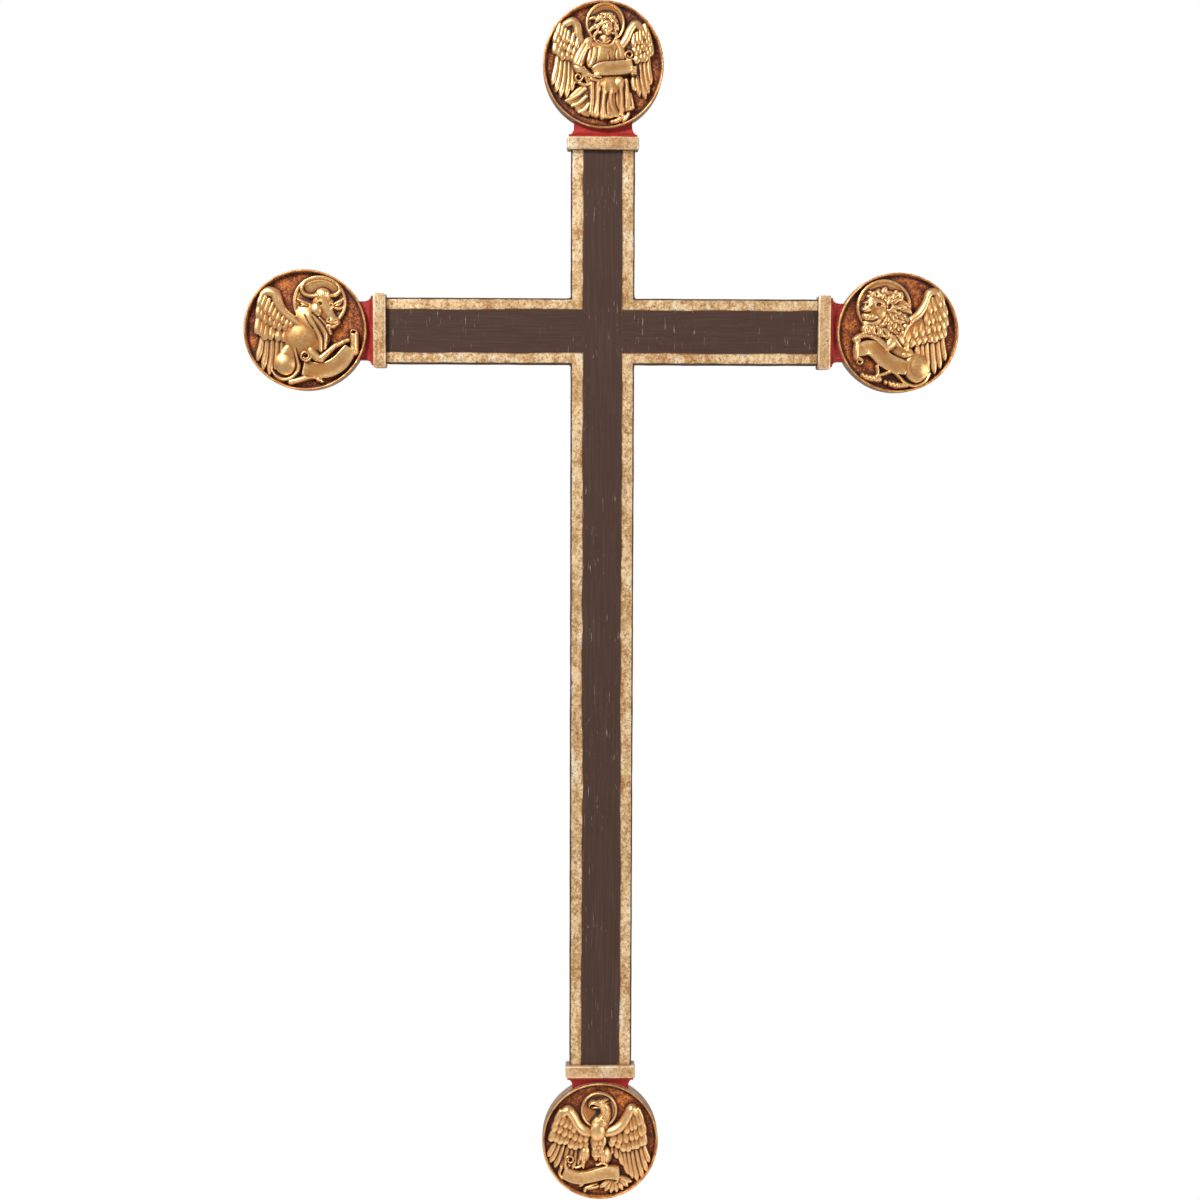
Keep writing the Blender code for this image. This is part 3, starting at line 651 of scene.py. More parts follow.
    # neck and head, with a face of our own
    c.blob(4, 41, 12, 11, 4.6, 1.0)
    c.stroke([(4, 50, 6, 5.0), (3, 36, 6.5, 4.8)], 2.0)
    c.blob(5, 62, 17, 18, 4.6)
    for u, v, turn, length, bend in ((-7, 66, 2.7, 16, -0.3), (-8, 56, 3.3, 15, -0.35),
                                     (-6, 50, 3.7, 12, -0.3), (16, 52, -1.1, 13, 0.3),
                                     (17, 60, -0.6, 9, 0.3)):
        lock(c, u, v, turn, length, 3.4, 4.9, bend)
    for k in range(12):
        a = -0.75 + k * 0.42
        lean = -0.5 if a < 1.6 else 0.5
        lock(c, 5 + 9 * cos(a), 63 + 9 * sin(a), a + lean, 10, 3.4, 5.6, 0.35 if k % 2 else -0.35)
    c.blob(6, 58, 11.0, 14.2, 7.4, 3.4, lay=True)
    c.blob(6, 64, 9.0, 6.0, 7.4, 4.0)
    for k in range(8):
        a = 0.15 + k * 0.41
        lock(c, 6 + 7.5 * cos(a), 65 + 7.5 * sin(a), a + (0.9 if k % 2 else -0.6), 7.5, 3.2, 6.9, 0.4, 1.5)
    for s in (-1, 1):
        c.blob(6 + 4.4 * s, 60.0, 3.0, 2.0, 6.1, 6.9, lay=True)
        c.blob(6 + 4.4 * s, 59.8, 2.0, 1.1, 7.0, 6.2)
        c.blob(6 + 5.6 * s, 54.5, 3.6, 3.4, 7.2, 5.4)
        c.stroke([(6 + 2.0 * s, 63, 0.9, 7.7), (6 + 5.0 * s, 63.4, 0.9, 7.6),
                  (6 + 7.6 * s, 61.6, 0.8, 7.0)], 5.0)
    c.stroke([(6, 62, 0.9, 7.6), (6, 57, 1.3, 8.2), (6, 55.4, 1.8, 8.4)], 5.5)
    c.stroke([(3.4, 51.0, 0.9, 7.6), (6, 51.4, 1.1, 7.9), (8.6, 51.0, 0.9, 7.6)], 5.5)
    c.stroke([(4, 49.4, 0.9, 7.4), (6, 49.0, 1.2, 7.7), (8, 49.4, 0.9, 7.4)], 5.5)
    c.blob(6, 46.2, 3.4, 2.4, 7.3, 5.2)


def ox(c):
    c.halo(24, 46.5, 41.5, 2.6, leaf=0.46)
    # wing
    c.fan([((-68, -2), (-78, -50), 4.4), ((-62, -6), (-69, -65), 4.4), ((-54, -8), (-59, -73), 4.6),
           ((-46, -10), (-50, -64), 4.4), ((-38, -12), (-42, -58), 4.2), ((-32, -14), (-35, -48), 4.0),
           ((-26, -14), (-27, -32), 3.6)], 2.6, 3.3, 0.02)
    c.mass([(-57, 71), (-70, 63), (-75, 42), (-72, 10), (-58, -6), (-30, -14), (-8, -10), (-2, 4),
            (-10, 12), (-24, 22), (-36, 36), (-41, 56), (-44, 66)], 2.8, 8)
    c.row([(-72, 34), (-58, 14), (-36, 4), (-16, 6)], [(-78, -3), (-62, -12), (-38, -14), (-18, -14)], 8,
          4.6, 3.5, 4.5)
    c.row([(-72, 48), (-58, 32), (-36, 18), (-14, 14)], [(-76, 24), (-60, 12), (-38, 2), (-18, -2)], 9, 4.0,
          4.3, 5.1)
    c.row([(-68, 60), (-54, 46), (-36, 32), (-18, 20)], [(-74, 42), (-60, 28), (-42, 14), (-24, 6)], 9, 3.6,
          5.1, 5.7)
    c.stroke([(-66, 58, 8, 4.8), (-58, 62, 9.5, 6.0), (-48, 58, 9.5, 6.3), (-44, 45, 9, 6.2),
              (-37, 32, 8.5, 6.0), (-24, 20, 8, 6.0), (-8, 8, 8, 5.8)], 2.4, ease=0.8)
    # haunch and tail
    c.mass([(-26, -20), (-14, -30), (-13, -56), (-20, -72), (-36, -76), (-48, -64), (-46, -44), (-36, -26)],
           4.4, 10)
    c.blob(-32, -55, 19, 20, 6.0, 2.6, ease=1.1)
    # lower leg
    c.stroke([(-24, -86, 5.5, 4.6), (-8, -82, 5.5, 5.4), (6, -78, 5, 5.4), (16, -78, 4, 5.0)], 0.6)
    c.blob(22, -82, 6, 4.6, 5.0)
    c.blob(27, -85, 4, 3.4, 4.6)
    # scroll
    c.ribbon([(-4, -62, 13, 3.2), (10, -65, 13, 3.0), (26, -67, 13, 3.2), (42, -63, 14, 4.0),
              (56, -54, 14, 5.0), (66, -42, 13, 5.8), (74, -29, 10, 5.8)], 0.3)
    c.coil(1, -43, 9.5, 6.2, pi * 0.2, 1.5, 2.2)
    c.stroke([(80, -5, 7.2, 5.8), (80, -20, 7.4, 5.8), (80, -36, 7.4, 5.4)], 1.0)
    c.blob(79, -3, 5.4, 3.6, 1.2, 3.4, lay=True)
    c.stroke([(74, -3, 1.2, 5.6), (78, 0.6, 1.2, 5.8), (84, -1.6, 1.2, 5.6), (82, -6, 1.2, 5.6),
              (76, -6, 1.2, 5.6)], 3.0)
    # chest, neck and body
    c.mass([(-26, -12), (-6, -26), (0, -42), (-8, -50), (-24, -34)], 3.6, 6)
    c.mass([(8, 40), (26, 30), (44, 6), (42, -10), (36, -32), (20, -42), (2, -40), (-14, -28), (-24, -14),
            (-16, 2), (-4, 10), (2, 28)], 5.2, 16)
    c.blob(-2, -10, 32, 32, 7.0, 3.6, turn=-20, ease=1.2)
    c.blob(8, 14, 22, 30, 6.8, 3.6, turn=22, ease=1.2)
    c.strokes([[(15, 24, 3.6, 6.0), (27, 8, 3.8, 6.2), (34, -8, 3.8, 6.0), (32, -30, 3.2, 5.4)],
               [(24, 18, 3.2, 5.8), (36, 6, 3.4, 5.8), (42, -6, 2.6, 5.0)],
               [(7, 24, 4, 6.6), (17, 4, 4, 7.0), (25, -14, 4, 6.8), (26, -34, 3.2, 5.8)]], 4.2)
    c.grooves([[(12, 22), (23, 3), (30, -12), (30, -30)], [(20, 21), (32, 5), (39, -8), (36, -22)],
               [(1, 24), (8, 10), (14, 2)]], 0.9, 1.1)
    # raised foreleg
    c.stroke([(10, -34, 9, 6.0), (18, -44, 8, 6.4), (26, -48, 6.5, 6.4)], 2.0)
    c.stroke([(26, -47, 6.5, 6.4), (38, -36, 5, 6.4), (48, -27, 4.6, 6.4), (56, -23, 4.6, 6.4)], 2.0)
    c.stroke([(56, -23, 4.2, 6.4), (64, -19, 4.0, 6.4), (70, -16, 3.4, 6.4)], 2.0)
    c.blob(70, -17, 4.4, 4.8, 6.8)
    c.groove([(53, -27), (56, -20)], 1.3, 0.9)
    c.groove([(65, -21), (66, -14)], 1.3, 0.9)
    # tail
    c.stroke([(-20, -22, 3, 4.8), (-14, -42, 3, 5.2), (-11, -62, 3.2, 5.4), (-20, -77, 3.4, 5.4),
              (-36, -82, 3.4, 5.0), (-48, -76, 3, 4.6), (-54, -67, 2, 3.6)], 1.0)
    c.groove([(-14, -30), (-9, -60), (-18, -74)], 1.0, 0.7)
    # ears, horns, head
    for s, u in ((-1, 9), (1, 47)):
        lean = 1 if s > 0 else 1.45
        c.stroke([(u, 41, 4, 4.6), (u + 7 * s * lean, 44, 5, 4.8), (u + 14 * s * lean, 51, 2, 3.8)], 1.0)
        c.stroke([(u, 38, 4, 4.6), (u + 7 * s * lean, 36, 4.4, 4.8), (u + 13 * s * lean, 37, 2.4, 3.8)],
                 1.0)
        c.groove([(u + 2 * s, 41), (u + 12 * s * lean, 46)], 1.6, 1.0)
        c.groove([(u + 2 * s, 38), (u + 12 * s * lean, 38)], 1.2, 0.8)
    c.stroke([(22, 57, 4.0, 5.6), (10, 56, 3.8, 5.4), (-1, 60, 3.4, 5.0), (-5, 69, 2.8, 4.6),
              (-1, 78, 1.2, 3.8)], 1.0)
    c.stroke([(38, 57, 4.0, 5.6), (48, 57, 3.6, 5.2), (56, 63, 3.2, 5.0), (56, 71, 2.4, 4.4),
              (51, 76, 1.0, 3.6)], 1.0)
    c.mass([(14, 56), (30, 60), (44, 56), (48, 40), (50, 22), (52, 12), (40, 4), (32, 12), (22, 22),
            (12, 34)], 5.4, 10)
    c.stroke([(30, 56, 13, 6.6), (33, 42, 12, 7.0), (39, 28, 9, 7.0), (45, 18, 8, 6.8)], 3.0)
    c.blob(20, 33, 13, 15, 7.2, 3.4, turn=-20, ease=1.0)
    c.blob(42, 40, 7, 12, 6.6, 3.0, ease=1.0)
    c.blob(45, 15, 12.5, 9.5, 7.6, 3.4, turn=-15, ease=0.9)
    c.blob(42, 7, 9, 5, 6.4, 3.0, turn=-10)
    for k in range(6):
        c.stroke([(22 + 3.4 * k, 61, 1.8, 6.4), (23 + 3 * k, 54, 1.6, 7.0)], 3.5)
    c.blob(24.5, 42.5, 5.0, 3.6, 5.2, 6.6, lay=True)
    c.blob(24.5, 42.3, 3.0, 2.2, 6.8, 5.0)
    c.stroke([(19, 44, 1.2, 7.0), (24, 47.2, 1.3, 7.6), (30, 45, 1.2, 7.0)], 4.5)
    c.groove([(24.5, 42.3), (26, 42.3)], 1.6, 1.0)
    c.blob(44, 41, 2.4, 2.0, 4.6, 6.2, lay=True)
    c.groove([(39, 15), (41, 17)], 2.0, 1.0)
    c.groove([(50, 15), (52, 16)], 1.8, 0.9)
    c.groove([(36, 10), (44, 9), (53, 10)], 1.5, 0.8)
    c.groove([(13, 28), (24, 18), (34, 6)], 1.5, 1.2)


def lion(c):
    c.halo(-23.3, 43.5, 43, 2.4, leaf=0.44)
    # wing
    c.fan([((72, 8), (79, -45), 4.0), ((65, 2), (71, -58), 4.2), ((57, -4), (62, -67), 4.4),
           ((48, -8), (50, -60), 4.4), ((40, -10), (42, -50), 4.2), ((32, -10), (34, -38), 4.0)], 2.6, 3.4,
          -0.02)
    c.mass([(46, 66), (60, 74), (69, 66), (73, 52), (78, 30), (77, 6), (62, -8), (34, -16), (10, -16),
            (8, 2), (20, 20), (32, 28), (42, 42), (44, 54)], 2.9, 8)
    c.mass([(8, 10), (26, 26), (40, 36), (44, 18), (34, -2), (22, -18), (10, -18), (4, -6)], 4.4, 9)
    c.row([(72, 22), (56, 14), (38, 8), (14, 2)], [(76, -4), (58, -11), (36, -15), (12, -26)], 8, 4.8, 3.6,
          4.6)
    c.row([(73, 40), (60, 30), (42, 22), (18, 12)], [(79, 14), (62, 6), (42, 0), (14, -12)], 8, 4.4, 4.3,
          5.2)
    c.row([(70, 56), (58, 46), (46, 38)], [(78, 32), (64, 22), (48, 16)], 6, 4.0, 5.0, 5.8)
    c.row([(68, 66), (58, 58), (50, 52)], [(72, 50), (62, 42), (50, 34)], 4, 4.0, 5.6, 6.2)
    c.stroke([(8, -6, 6, 5.2), (12, 8, 8, 5.8), (22, 20, 8.5, 6.0), (34, 29, 8, 6.0), (43, 42, 7.5, 6.0),
              (47, 54, 6, 6.0)], 2.4, ease=0.8)
    c.stroke([(47, 54, 6, 6.0), (52, 65, 8, 6.4), (61, 66, 8, 6.4), (66, 58, 6, 5.6)], 2.0, ease=0.8)
    # hind quarters, body and small hind paw
    c.mass([(20, -36), (34, -40), (50, -60), (54, -72), (34, -86), (14, -74), (10, -50)], 4.6, 9)
    c.blob(34, -58, 20, 25, 6.0, 2.6, turn=20, ease=1.0)
    c.mass([(-12, -10), (6, -8), (24, -26), (30, -40), (10, -46), (-8, -36), (-18, -28)], 3.8, 8)
    c.blob(14, -37, 9, 5.5, 5.2, 2.0)
    c.groove([(10, -38), (18, -37)], 0.9, 0.8)
    # scroll
    c.ribbon([(-68, -29, 11, 5.8), (-60, -28, 11.5, 6.2), (-48, -25, 12.5, 5.4), (-36, -30, 13.5, 4.8),
              (-22, -44, 14, 4.6), (-8, -52, 13.5, 4.6), (6, -57, 12.5, 4.4), (16, -60, 11, 4.2)], 0.4)
    c.stroke([(-67, -19, 4.6, 6.4), (-68.5, -30, 5.0, 6.8), (-68, -43, 4.6, 6.4)], 2.0)
    c.coil(-63, -48, 6.4, 5.2, pi * 0.8, 1.3, 1.9)
    c.stroke([(-33, -56, 3.4, 4.4), (-32, -64, 3.2, 4.4), (-32, -71, 2.6, 3.8)], 0.8)
    # forelegs
    c.blob(-4, -10, 22, 18, 6.4, 2.4, turn=-30, ease=1.0)
    c.stroke([(-4, -8, 10, 6.0), (-12, -19, 10, 6.6), (-18, -25, 7.5, 6.6)], 2.8)
    c.stroke([(-18, -25, 7, 6.6), (-27, -17, 6, 6.6), (-38, -8, 5.6, 6.6), (-50, -4, 5.4, 6.6),
              (-62, -6, 5.2, 6.6), (-70, -11, 4.8, 6.2)], 2.4)
    for k in range(4):
        c.stroke([(-66 + 1.0 * k, -7 - 2.3 * k, 2.2, 6.4), (-74 + 1.4 * k, -12 - 2.0 * k, 1.9, 5.6)], 2.5)
    c.groove([(-6, -2), (2, -16), (10, -24)], 1.4, 1.4)
    # paws below
    c.stroke([(-30, -78, 6, 5.4), (-44, -76, 6, 5.4), (-52, -74, 5, 5.0)], 0.8)
    paw(c, -57, -71, (6.6, -2.2), 5.4)
    c.stroke([(16, -88, 4, 4.4), (0, -88, 5.4, 5.2), (-10, -86, 5, 5.0)], 0.8)
    paw(c, -19, -83, (6.6, -1.4), 5.4)
    for k in range(3):
        c.groove([(-53.5 + 6.6 * k, -68 - 2.2 * k), (-53 + 6.6 * k, -77 - 2.2 * k)], 1.4, 0.8)
        c.groove([(-15.6 + 6.6 * k, -80 - 1.4 * k), (-15 + 6.6 * k, -89 - 1.4 * k)], 1.4, 0.8)
    # tail
    c.stroke([(-34, -72, 3, 4.4), (-22, -69, 3.2, 5.2), (-8, -65, 3.4, 5.6), (4, -75, 3.2, 5.6),
              (15, -85, 3, 5.4), (31, -89, 3, 5.0), (46, -82, 3, 5.0), (54, -68, 2.6, 4.6)], 1.0)
    # mane: locks in rings round the head, the outer ones first
    c.blob(-20, 34, 36, 36, 5.6, 2.6, ease=0.4)
    c.blob(-34, 12, 18, 20, 4.8, turn=20)
    for count, reach, length, width, top in ((21, 25, 16, 5.2, 5.4), (18, 18, 14, 4.8, 6.2),
                                             (14, 11, 12, 4.4, 6.9)):
        for k in range(count):
            a = 2.35 - 5.0 * k / (count - 1)
            lock(c, -20 + reach * cos(a), 33 + reach * sin(a), a - 0.35 + 0.5 * sin(4.0 * k + count),
                 length, width, top, 0.3 if k % 2 else -0.22)
    for k in range(6):
        a = 0.9 - 2.4 * k / 5
        lock(c, -20 + 4 * cos(a), 32 + 5 * sin(a), a - 0.3, 11, 4.4, 7.3, 0.3 if k % 2 else -0.3)
    for k in range(6):
        lock(c, -50 + 5.5 * k, 12 - 1.5 * k, -1.7 + 0.1 * k, 14, 4.4, 6.2, 0.3 if k % 2 else -0.3)
    # face turned to the left
    c.mass([(-46, 60), (-34, 62), (-24, 54), (-20, 40), (-24, 24), (-34, 12), (-46, 8), (-54, 14),
            (-56, 24), (-56, 34), (-58, 40), (-54, 50)], 6.5, 6, lay=True, base=5.2)
    c.blob(-37, 48, 15, 14, 7.8, 5.0, ease=1.0)
    c.stroke([(-43, 56, 6, 7.4), (-48, 46, 5.4, 7.8), (-54, 38, 4.8, 7.4)], 4.5, ease=0.9)
    c.blob(-30, 32, 13, 15, 7.5, 5.0, ease=1.1)
    c.blob(-51, 27, 9.0, 7.5, 7.6, 4.0)
    c.blob(-41, 25, 9.0, 8.5, 7.6, 4.0)
    c.blob(-49, 13.5, 8.0, 5.0, 6.9, 3.0)
    c.blob(-33, 45.5, 5.2, 3.6, 5.6, 7.2, lay=True)
    c.blob(-33.5, 45.0, 2.6, 1.8, 6.5, 5.4)
    c.blob(-53, 46, 2.8, 2.8, 5.2, 6.6, lay=True)
    c.stroke([(-41, 48, 1.7, 7.8), (-34, 50.8, 1.9, 8.2), (-27, 48, 1.5, 7.4)], 5.5)
    c.stroke([(-57, 49, 1.4, 6.6), (-53, 50.4, 1.5, 7.2), (-48, 49.4, 1.4, 7.2)], 5.0)
    c.stroke([(-58, 38.4, 2.8, 7.2), (-53.5, 36.4, 3.8, 7.8), (-48.5, 37.4, 2.6, 7.2)], 4.8)
    c.groove([(-58, 33.6), (-53, 32), (-47, 33)], 1.5, 1.0)
    c.groove([(-58, 20), (-50, 18.6), (-42, 18.6), (-36, 21)], 1.9, 1.2)
    c.groove([(-53, 32), (-53.5, 26), (-52.5, 21)], 1.1, 0.8)
    for k in range(4):
        lock(c, -45 + 5.5 * k, 60 - 0.4 * k * k, 1.9 - 0.25 * k, 8, 3.6, 6.9, 0.3 if k % 2 else -0.3)
        lock(c, -54 + 6.5 * k, 11 - 0.8 * k, -1.75 + 0.12 * k, 12, 4.2, 6.6, 0.3 if k % 2 else -0.3)
    c.blob(-14, 44, 7.0, 8.5, 7.6, 4.0, turn=-20)
    c.blob(-15.5, 43, 3.6, 5.2, 5.0, 6.6, turn=-20, lay=True)


def eagle(c):
    c.halo(-2, 52.5, 29.5, 2.1, leaf=0.20)
    # wings
    c.fan([((-76, 0), (-90, -26), 4.0), ((-70, -4), (-86, -36), 4.2), ((-63, -6), (-78, -45), 4.2),
           ((-55, -8), (-68, -50), 4.2), ((-48, -10), (-58, -52), 4.2), ((-41, -10), (-48, -48), 4.0),
           ((-34, -8), (-38, -40), 4.0), ((-27, -4), (-29, -30), 3.6)], 2.5, 3.1, 0.02)
    c.fan([((74, -4), (85, -37), 4.2), ((68, -8), (81, -53), 4.4), ((61, -12), (74, -65), 4.4),
           ((54, -14), (65, -70), 4.4), ((47, -14), (56, -64), 4.4), ((40, -14), (48, -57), 4.2),
           ((33, -12), (39, -42), 4.0), ((26, -8), (29, -30), 3.8), ((20, -4), (20, -22), 3.4)], 2.5, 3.1,
          -0.02)
    c.mass([(-54, 61), (-66, 56), (-74, 42), (-80, 20), (-72, -2), (-50, -10), (-26, -8), (-14, 4),
            (-16, 20), (-30, 24), (-41, 34), (-45, 50)], 2.8, 8)
    c.mass([(54, 65), (64, 56), (70, 36), (76, 6), (66, -8), (44, -14), (20, -8), (8, 6), (14, 20),
            (30, 28), (43, 40), (45, 56)], 2.8, 8)
    c.row([(-76, 24), (-60, 16), (-42, 8), (-24, 6)], [(-85, 4), (-66, 0), (-46, -9), (-26, -8)], 8, 4.6,
          3.5, 4.5)
    c.row([(-72, 40), (-58, 30), (-42, 22), (-24, 16)], [(-80, 22), (-62, 14), (-44, 6), (-26, 2)], 7, 4.4,
          4.3, 5.1)
    c.row([(-68, 52), (-54, 44), (-44, 36)], [(-76, 34), (-60, 30), (-46, 20)], 5, 4.2, 5.1, 5.7)
    c.row([(72, 22), (58, 10), (42, 6), (22, 6)], [(77, -3), (61, -9), (44, -14), (20, -4)], 8, 4.6, 3.5,
          4.5)
    c.row([(70, 40), (58, 26), (42, 18), (22, 14)], [(76, 16), (62, 8), (44, 2), (22, 0)], 7, 4.4, 4.3, 5.1)
    c.row([(66, 54), (56, 44), (46, 36)], [(72, 34), (60, 26), (46, 18)], 5, 4.2, 5.1, 5.7)
    c.stroke([(-12, 14, 9, 5.8), (-28, 17, 9.5, 6.0), (-40, 28, 9.5, 6.2), (-48, 43, 9.5, 6.4),
              (-56, 52, 9, 6.4), (-65, 45, 7.5, 5.4)], 2.4, ease=0.85)
    c.stroke([(10, 14, 9, 5.8), (26, 18, 9.5, 6.0), (40, 29, 9.5, 6.2), (49, 44, 9, 6.4),
              (55, 55, 8.5, 6.4), (62, 47, 7.5, 5.4)], 2.4, ease=0.85)
    # tail fan
    for tip in ((54, -71), (48, -78), (39, -84), (29, -88), (19, -89), (9, -86), (1, -80)):
        c.feather((24, -60), tip, 4.2, 3.4, 3.8)
    # thighs, feet and talons
    c.blob(-27, -22, 11, 18, 6.2, 1.0, turn=-16, ease=0.8)
    c.blob(7, -24, 14, 18, 6.8, 1.0, turn=6, ease=0.8)
    for u in (-31, -27, -23):
        c.groove([(u, -20), (u - 2, -34)], 0.9, 0.8)
    for u in (1, 5, 9):
        c.groove([(u, -22), (u, -36)], 0.9, 0.8)
    c.strokes([[(-28, -36, 3.6, 4.8), (-34, -43, 3, 4.4), (-42, -46, 2.4, 3.8)],
               [(-28, -38, 3, 4.8), (-29, -46, 2.6, 4.4)],
               [(5, -36, 3.6, 5.0), (-2, -40, 2.6, 4.8), (-7, -41, 2, 4.4)],
               [(6, -38, 3, 5.0), (12, -41, 2.6, 4.6)]], 1.5)
    c.strokes([[(-34, -76, 4, 4.8), (-30, -74, 3.4, 4.6)],
               [(-26, -86, 3.4, 4.6), (-24, -80, 3, 4.6), (-12, -76, 2.6, 4.4)],
               [(-20, -82, 3, 4.4), (-8, -80, 3, 4.4), (-3, -78, 2.4, 4.0)],
               [(-16, -76, 2.4, 4.2), (-6, -74, 2.2, 4.0)]], 0.8)
    # scroll
    c.coil(-52, -32, 8.0, 5.2, pi * 1.2, 1.2, 2.0)
    c.stroke([(-60, -34, 2.6, 5.0), (-60, -42, 3.4, 5.2), (-57, -50, 5, 5.2)], 1.0)
    c.ribbon([(-64, -54, 9, 4.4), (-54, -58, 10.5, 5.0), (-42, -62, 10.5, 5.6), (-28, -62, 10.5, 5.8),
              (-12, -59, 10.5, 5.6), (4, -55, 11, 5.4), (18, -53, 11.2, 5.6), (31, -55, 11, 5.8)], 0.4)
    c.stroke([(-67, -46, 3.2, 4.6), (-70, -56, 3, 4.4), (-66, -64, 2.6, 4.2)], 1.0)
    c.stroke([(31, -47, 2.4, 6.0), (32, -58, 2.6, 6.0), (30, -68, 2.4, 5.4), (26, -72, 2, 4.6)], 2.0)
    # body and breast feathers
    c.mass([(-14, 28), (2, 40), (14, 34), (16, 14), (12, -8), (4, -24), (-8, -36), (-16, -20), (-20, 2)],
           5.0, 9)
    c.blob(-3, 12, 15, 30, 6.8, 3.2)
    for rank in range(4):
        for k in range(-1, 2):
            u = -4 + 6.4 * k + (3.2 if rank % 2 else 0)
            v = -18 + 7 * rank
            if abs(u + 4) < 8 + rank * 1.5:
                c.feather((u, v + 6), (u + 0.4 * k, v - 6), 4.2, 6.0, 6.8 + 0.1 * rank, 0, 0.7, 0.8)
    c.blob(-4, 17, 12.5, 16, 8.2, 5.6, ease=0.9)
    # neck and head with an open hooked beak
    c.stroke([(3, 64, 9.0, 5.8), (8, 56, 9.0, 6.0), (9, 46, 9.5, 6.2), (5, 36, 11.5, 6.5),
              (-2, 25, 13.5, 6.9)], 2.0, ease=0.8)
    c.stroke([(6, 44, 4, 6.0), (-2, 37, 4, 6.4), (-10, 34, 2, 5.4)], 2.5)
    c.stroke([(8, 38, 4, 6.2), (0, 32, 4, 6.6), (-10, 28, 2, 5.6)], 2.5)
    for k in range(5):
        c.groove([(8 + 2.2 * k, 60 - 2 * k), (9 + 1.8 * k, 50 - 2 * k), (3 + 2 * k, 40 - 2 * k)], 1.2, 0.8)
    c.blob(-1, 65, 11, 7.5, 7.0, 2.0)
    c.stroke([(2, 69, 3, 6.6), (8, 71, 2.4, 6.2), (13, 72, 1.2, 5.0)], 2.0)
    c.stroke([(4, 66, 3, 6.6), (10, 66, 2.2, 6.2), (14, 66, 1.2, 5.0)], 2.0)
    c.stroke([(-8, 67, 4.4, 7.0), (-14, 67, 3.6, 6.8), (-18, 64, 2.4, 6.4), (-19, 59.5, 1.0, 5.4)], 2.0)
    c.stroke([(-2, 60, 2.6, 6.0), (-9, 59, 2.2, 5.6), (-14, 58, 1.4, 5.0)], 2.0)
    c.groove([(-16, 62), (-9, 62.4), (-2, 61)], 2.4, 0.9)
    c.blob(-7.5, 66.4, 2.6, 2.0, 5.0, 6.8, lay=True)
    c.blob(-7.5, 66.2, 1.5, 1.2, 6.6, 5.0)
    c.stroke([(-12, 69, 1.0, 7.4), (-7, 70, 1.2, 7.6), (-2, 69, 1.0, 7.2)], 4.0)


def finish(c):
    """Softens the cuts a little and measures how deep each place lies among its neighbours."""
    rough = c.h
    soft = blur(rough, 1)
    c.h = np.where(rough > 0.15, 0.45 * rough + 0.55 * soft, 0.0)
    near = np.clip((blur(c.h, 2) - c.h) / 0.42, -1, 1)
    wide = np.clip((blur(c.h, 7) - c.h) / 1.3, -1, 1)
    low = np.clip((3.0 - c.h) / 3.0, 0, 1)
    # recess drives the carving's glaze, painted shade and painted highlight: hollows and places low by the
    # ground count as deeper, halo grounds less
    c.recess = np.clip(0.34 + 0.52 * near + 0.62 * wide + 0.40 * low - c.leaf * (c.h < 2.8), 0, 1)
    return c


DESIGNS = {"angel": angel, "ox": ox, "lion": lion, "eagle": eagle}


def carve(name, n=GRID):
    c = Carving(n)
    DESIGNS[name](c)
    return finish(c)


# ---------------------------------------------------------------- meshes

def settle(made, look, slot, *nodes, angle=40):
    """Shading, material, body and replaced nodes of a visual piece; the finish (slot) is not used."""
    made.data.shade_smooth()
    made.data.set_sharp_from_angle(angle=radians(angle))
    made.data.materials.clear()
    made.data.materials.append(look)
    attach(made, BODY)
    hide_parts(*nodes)


def mark(made, **values):
    """Stores numbers per point for the materials to read."""
    for key, numbers in values.items():
        stored = made.data.attributes.new(key, "FLOAT", "POINT")
        stored.data.foreach_set("value", np.array(numbers, np.float32))


def link(name, mesh):
    made = bpy.data.objects.new(name, mesh)
    bpy.context.scene.collection.objects.link(made)
    return made


def from_points(name, verts, faces):
    mesh = bpy.data.meshes.new(name)
    mesh.from_pydata(verts, [], faces)
    return link(name, mesh)


def shape(bm, name="tool"):
    mesh = bpy.data.meshes.new(name)
    bmesh.ops.recalc_face_normals(bm, faces=bm.faces)
    bm.to_mesh(mesh)
    bm.free()
    return link(name, mesh)


def apply_steps(made):
    """Turns the modifiers into mesh."""
    bpy.context.view_layer.update()
    seen = made.evaluated_get(bpy.context.evaluated_depsgraph_get())
    mesh = bpy.data.meshes.new_from_object(seen)
    made.modifiers.clear()
    made.data = mesh


def cut(made, tool):
    step = made.modifiers.new("cut", "BOOLEAN")
    step.object = tool
    apply_steps(made)
    bpy.data.objects.remove(tool, do_unlink=True)


def block(low, high):
    bm = bmesh.new()
    low, high = Vector(low), Vector(high)
    place = Matrix.Translation((low + high) / 2) @ Matrix.Diagonal((*(high - low), 1))
    bmesh.ops.create_cube(bm, size=1, matrix=place)
    return shape(bm)


def uneven(made, depth, size):
    """Hand-finish: moves each point a little along its normal."""
    for vert in made.data.vertices:
        vert.co += vert.normal * depth * noise.noise(vert.co / size)


def split_range(points, step):
    """Grid lines through every given point, no further apart than step."""
    lines = []
    for a, b in zip(points, points[1:]):
        count = max(1, int(round((b - a) / step)))
        lines += [a + (b - a) * k / count for k in range(count)]
    return lines + [points[-1]]


